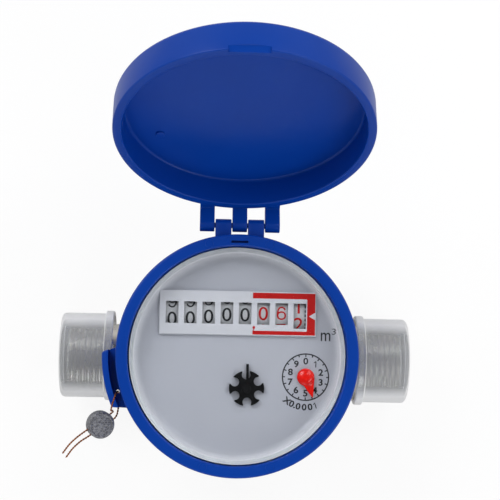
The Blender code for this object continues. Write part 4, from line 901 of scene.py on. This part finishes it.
# Lid: the same blue ABS, moulded as a shallow cap with three hinge arms and a finger notch
# opposite them. It is made closed and then turned open on the hinge. The extra circle inside
# each of its wide roundings keeps the shading of its plate flat.
LID_R = 38.5
LID_IN = 35.8
LID_RIM = 58.8
LID_TOP = 69.4
LID_CEILING = 67.9
LID_OPEN = math.radians(-117)
hinge = Matrix.Translation(Vector((0, HINGE_Y, HINGE_Z)) * MM)
opened = hinge @ Matrix.Rotation(LID_OPEN, 4, "X") @ hinge.inverted()
lid = turned(
    [
        (0, LID_TOP, 0), (LID_R - 2.3, LID_TOP, 0), (LID_R, LID_TOP, 1.8), (LID_R, LID_RIM, 0.5),
        (LID_IN, LID_RIM, 0.4), (LID_IN, LID_CEILING, 0.8), (LID_IN - 1.2, LID_CEILING, 0),
        (0, LID_CEILING, 0),
    ],
    224,
)
arm = [
    (HINGE_Y - BARREL_R, HINGE_Z - BARREL_R, 1.95), (HINGE_Y + BARREL_R, HINGE_Z - BARREL_R, 1.95),
    (HINGE_Y + BARREL_R, 59.8, 1), (38, 64.5, 0.5), (36.1, 64.5, 0), (36.1, 59.1, 0),
    (HINGE_Y - BARREL_R, 59.1, 0.3),
]
arms = [slab(arm, low, low + 4.6, 0.25, ALONG_X) for low in (-12.5, -2.3, 7.9)]
lid = combined(lid, arms, "UNION")
notch = [
    (-40, 57.5, 0), (-36.6, 57.5, 0), (-37.1, 59, 0.3), (-38.1, 60.3, 0.4), (-40, 60.9, 0),
]
cutters = [slab(notch, -5.9, 5.9, 0, ALONG_X), rod(PIN_HOLE_R, -14, 14, 32, pin_hole)]
lid = combined(lid, cutters, "DIFFERENCE")
pip = Matrix.Translation(Vector((-25, 12.5, 0)) * MM)
lid = combined(lid, [turned(
    [(0, 67.3, 0), (1.3, 67.3, 0.2), (1.45, 68.1, 0), (0, 68.1, 0)], 32, pip
)], "UNION")
bmesh.ops.transform(lid, matrix=opened, verts=lid.verts)
finished("hinged_lid", lid, blue_abs, "blue_plastic", "lid", "lid")


# Thread protectors: thin cups moulded in natural polythene, milky and waxy, pushed over each
# threaded end. The metal shows through them, least where they are seen at a slant.
CAP_R = 14
CAP_IN = 13.5
CAP_END = 57.5
CAP_LIP_R = 14.9
CAP_LIP_LOW = 40.2
CAP_LIP_HIGH = 42.9

milky = bpy.data.materials.new("natural_polythene")
milky.use_nodes = True
tree = milky.node_tree
tree.nodes.clear()
where = add(tree, "TexCoord").outputs["Object"]
cloud = add(tree, "TexNoise", {"Vector": where, "Scale": 1 / (5 * MM), "Detail": 3.0})
tone = add(tree, "Mix", {0: cloud.outputs[0], 6: linear("F2F3F4"), 7: linear("FAFAFB")},
           data_type="RGBA")
ripple = add(tree, "TexNoise", {"Vector": where, "Scale": 1 / (2.5 * MM), "Detail": 1.0})
skin = add(tree, "Bump", {"Height": ripple.outputs[0], "Distance": 0.05 * MM, "Strength": 0.4})
wax = add(tree, "BsdfPrincipled", {
    "Base Color": tone.outputs[2], "Roughness": 0.28, "IOR": 1.51, "Normal": skin.outputs[0],
})
through = add(tree, "BsdfTransparent", {"Color": linear("F4F6F8")})
edge_on = add(tree, "LayerWeight", {"Blend": 0.5, "Normal": skin.outputs[0]})
cover = add(tree, "MapRange", {0: edge_on.outputs["Facing"], 1: 0.26, 2: 0.5, 3: 0.24, 4: 0.97})
both = add(tree, "MixShader", {0: cover.outputs[0], 1: through.outputs[0], 2: wax.outputs[0]})
add(tree, "OutputMaterial", {"Surface": both.outputs[0]})
for name, side in (("inlet", -1), ("outlet", 1)):
    cap = turned(
        [
            (0, CAP_END, 0), (CAP_R, CAP_END, 1.4), (CAP_R, CAP_LIP_HIGH, 0.3),
            (CAP_LIP_R, CAP_LIP_HIGH, 0.4), (CAP_LIP_R, CAP_LIP_LOW, 0.5),
            (CAP_IN, CAP_LIP_LOW, 0.15), (CAP_IN, 56, 0.6), (0, 56, 0),
        ],
        128, along_pipe(side),
    )
    finished(
        f"{name}_protector_cup", cap, milky, "frosted_polythene", f"{name}_protector", f"{name}_cap"
    )


# Lead seal: a cast lead disc with two bores, crimped flat on the wire by the sealing pliers,
# whose jaws leave a coarse pattern of pits in both faces. Lead is soft and a dull grey.
SEAL_AT = Vector((-42.3, -22.2, 46)) * MM
SEAL_AXIS = Vector((0.385, -0.173, 0.906)).normalized()
WIRE_HEADING = Vector((-0.787, -0.574, 0.2255))
SEAL_R = 4.3
SEAL_HALF = 1.7
SEAL_BORE_R = 0.6

lead, tree, shader, where = new_material(
    "cast_lead", "83848A", {"Metallic": 0.45, "Roughness": 0.45}
)
pits = add(tree, "TexVoronoi", {"Vector": where, "Scale": 1 / (0.7 * MM), "Randomness": 0.7})
tone = add(tree, "Mix", {0: pits.outputs[0], 6: linear("5C5D62"), 7: linear("A2A3A8")},
           data_type="RGBA")
tree.links.new(tone.outputs[2], shader.inputs["Base Color"])
crimp = add(tree, "Bump", {"Height": pits.outputs[0], "Distance": 0.25 * MM, "Strength": 0.8})
tree.links.new(crimp.outputs[0], shader.inputs["Normal"])
across = SEAL_AXIS.cross(WIRE_HEADING).normalized()
ahead = across.cross(SEAL_AXIS).normalized()
turn = Matrix((ahead, across, SEAL_AXIS)).transposed().to_4x4()
seal_frame = Matrix.Translation(SEAL_AT) @ turn
seal = turned(
    [
        (0, -1.5, 0), (3.3, -1.5, 0.3), (3.5, -SEAL_HALF, 0.1), (SEAL_R, -SEAL_HALF, 0.6),
        (SEAL_R, SEAL_HALF, 0.6), (3.5, SEAL_HALF, 0.1), (3.3, 1.5, 0.3), (0, 1.5, 0),
    ],
    96, seal_frame,
)
bores = []
for side in (-1, 1):
    strand = seal_frame @ Matrix.Translation((0, side * MM, 0)) @ ALONG_X
    bores.append(rod(SEAL_BORE_R, -8, 8, 24, strand))
seal = combined(seal, bores, "DIFFERENCE")
seal = finished("crimped_seal", seal, lead, "lead", "root", "lead_seal")


# Seal wire: two copper wires twisted together, threaded through the seal, over the lug's wall
# and down its hole, back through the seal and cut off a little way past it. The copper has
# gone brown in patches.
WIRE_R = 0.3
STRAND_R = 0.16
TWIST = 1.7
WIRE_ROUTE = [
    (-53.7, -31.3, 46.6), (-51.5, -28.4, 47.9), (-49.1, -26.1, 48), (-46.72, -24.27, 47.48),
    (-42.78, -21.4, 46.36), (-38.85, -18.53, 45.22), (-38.5, -17.9, 47.4), (-38.5, -17.7, 51),
    (-38.5, -17.6, 54.6), (-38.35, -16.9, 56.9), (-37.95, -15.4, 57.6), (-37.4, -13.6, 57.1),
    (-37, -12.3, 55.4), (-36.87, -11.8, 53), (-36.87, -11.77, 50.2), (-36.87, -11.77, 47.6),
    (-37, -12.4, 45.2), (-37.03, -14.5, 43.7), (-36.97, -17.5, 43.6), (-37.88, -20.13, 44.51),
    (-41.82, -23, 45.64), (-45.75, -25.87, 46.77), (-48.3, -27.6, 47.1), (-50.7, -29.9, 46.6),
    (-52.7, -32.6, 45.4),
]

copper, tree, shader, where = new_material(
    "copper_wire", "A8623A", {"Metallic": 1.0, "Roughness": 0.32}
)
tarnish = add(tree, "TexNoise", {"Vector": where, "Scale": 1 / (1.2 * MM), "Detail": 3.0})
tone = add(tree, "Mix", {0: tarnish.outputs[0], 6: linear("6E3B22"), 7: linear("C27A4A")},
           data_type="RGBA")
tree.links.new(tone.outputs[2], shader.inputs["Base Color"])

route = smoothed([Vector(point) * MM for point in WIRE_ROUTE], 24)
wire = bmesh.new()
for phase in (0, math.pi):
    curve = bpy.data.curves.new("strand", "CURVE")
    curve.dimensions = "3D"
    curve.bevel_depth = STRAND_R * MM
    curve.bevel_resolution = 2
    curve.use_fill_caps = True
    line = curve.splines.new("POLY")
    line.points.add(len(route) - 1)
    travelled = 0.0
    side = Vector((0, 0, 1))
    for place, spot in enumerate(route):
        ahead = route[min(place + 1, len(route) - 1)] - route[max(place - 1, 0)]
        ahead.normalize()
        side = (side - ahead * side.dot(ahead)).normalized()
        if place:
            travelled += (spot - route[place - 1]).length
        turn = Matrix.Rotation(phase + travelled / (TWIST * MM) * TURN, 3, ahead)
        line.points[place].co = (*(spot + turn @ side * (WIRE_R - STRAND_R) * MM), 1)
    holder = bpy.data.objects.new("strand", curve)
    bpy.context.scene.collection.objects.link(holder)
    mesh = holder.to_mesh(depsgraph=bpy.context.evaluated_depsgraph_get())
    wire.from_mesh(mesh)
    holder.to_mesh_clear()
    bpy.data.objects.remove(holder, do_unlink=True)
wire = finished("twisted_wire", wire, copper, "copper", "root", "seal_wire", sharp=60)


# Floor and light: a plain white sweep and large soft lamps, as for a catalogue photograph.
# The white is only for rays that reach it straight or through clear plastic.
def unbroken(tree, rays):
    """One for camera rays, straight or through clear plastic, that nothing has scattered yet."""
    bounced = add(tree, "Math", {
        0: rays.outputs["Diffuse Depth"], 1: rays.outputs["Glossy Depth"],
    }, operation="ADD")
    fresh = add(tree, "Math", {0: bounced.outputs[0], 1: 0.5}, operation="LESS_THAN")
    through = add(tree, "Math", {
        0: rays.outputs["Is Transmission Ray"], 1: fresh.outputs[0],
    }, operation="MULTIPLY")
    return add(tree, "Math", {
        0: rays.outputs["Is Camera Ray"], 1: through.outputs[0],
    }, operation="MAXIMUM")


sweep = bpy.data.materials.new("white_floor")
sweep.use_nodes = True
tree = sweep.node_tree
tree.nodes.clear()
paper = add(tree, "BsdfDiffuse", {"Color": linear("E6E6E6")})
glow = add(tree, "Emission", {"Color": (1, 1, 1, 1), "Strength": 1.08})
straight = unbroken(tree, add(tree, "LightPath"))
share = add(tree, "Math", {0: straight.outputs[0], 1: 0.8}, operation="MULTIPLY")
both = add(tree, "MixShader", {0: share.outputs[0], 1: paper.outputs[0], 2: glow.outputs[0]})
add(tree, "OutputMaterial", {"Surface": both.outputs[0]})
ground = bmesh.new()
bmesh.ops.create_grid(ground, x_segments=1, y_segments=1, size=4.0)
mesh = bpy.data.meshes.new("floor")
ground.to_mesh(mesh)
ground.free()
mesh.materials.append(sweep)
floor = bpy.data.objects.new("floor", mesh)
bpy.context.scene.collection.objects.link(floor)

world = bpy.data.worlds.new("studio")
bpy.context.scene.world = world
world.use_nodes = True
tree = world.node_tree
tree.nodes.clear()
rays = add(tree, "LightPath")
straight = unbroken(tree, rays)
view = add(tree, "SeparateXYZ", {0: add(tree, "TexCoord").outputs["Generated"]})
# Shine shows a white room that darkens overhead, where the camera stands
overhead = add(tree, "MapRange", {0: view.outputs[2], 1: 0.05, 2: 0.7, 3: 0.9, 4: 0.04})
soft = add(tree, "Mix", {0: rays.outputs["Is Glossy Ray"], 2: 0.32, 3: overhead.outputs[0]},
           data_type="FLOAT")
seen = add(tree, "Mix", {0: straight.outputs[0], 2: soft.outputs[0], 3: 1.0}, data_type="FLOAT")
sky = add(tree, "Background", {"Color": (1, 1, 1, 1), "Strength": seen.outputs[0]})
add(tree, "OutputWorld", {"Surface": sky.outputs[0]})
# Soft lamps stand round the part: places and sizes in metres, powers in watts
for name, spot, size, power in (
    ("key_lamp", (-0.42, 0.44, 0.62), 0.4, 2.6),
    ("back_lamp", (0.42, 0.45, 0.65), 0.45, 1.7),
    ("side_lamp", (0.5, -0.35, 0.52), 0.4, 1.3),
    ("front_lamp", (-0.1, -0.75, 0.32), 0.5, 1.1),
):
    lamp = bpy.data.lights.new(name, "AREA")
    lamp.size = size
    lamp.energy = power
    light = bpy.data.objects.new(name, lamp)
    light.location = spot
    light.rotation_euler = (Vector(spot) - Vector((0, 0, 0.04))).to_track_quat("Z", "Y").to_euler()
    bpy.context.scene.collection.objects.link(light)

# Camera: high above the dial and looking nearly straight down, as in the photograph
lens_data = bpy.data.cameras.new("camera")
lens_data.sensor_width = 36
lens_data.lens = 103.55
lens_data.clip_start = 0.02
camera = bpy.data.objects.new("camera", lens_data)
camera.location = Vector((-12.08, -8.72, 501.29)) * MM
camera.rotation_euler = [math.radians(angle) for angle in (5.29, -2.078, 1.104)]
bpy.context.scene.collection.objects.link(camera)
bpy.context.scene.camera = camera
bpy.context.scene.view_settings.view_transform = "Standard"
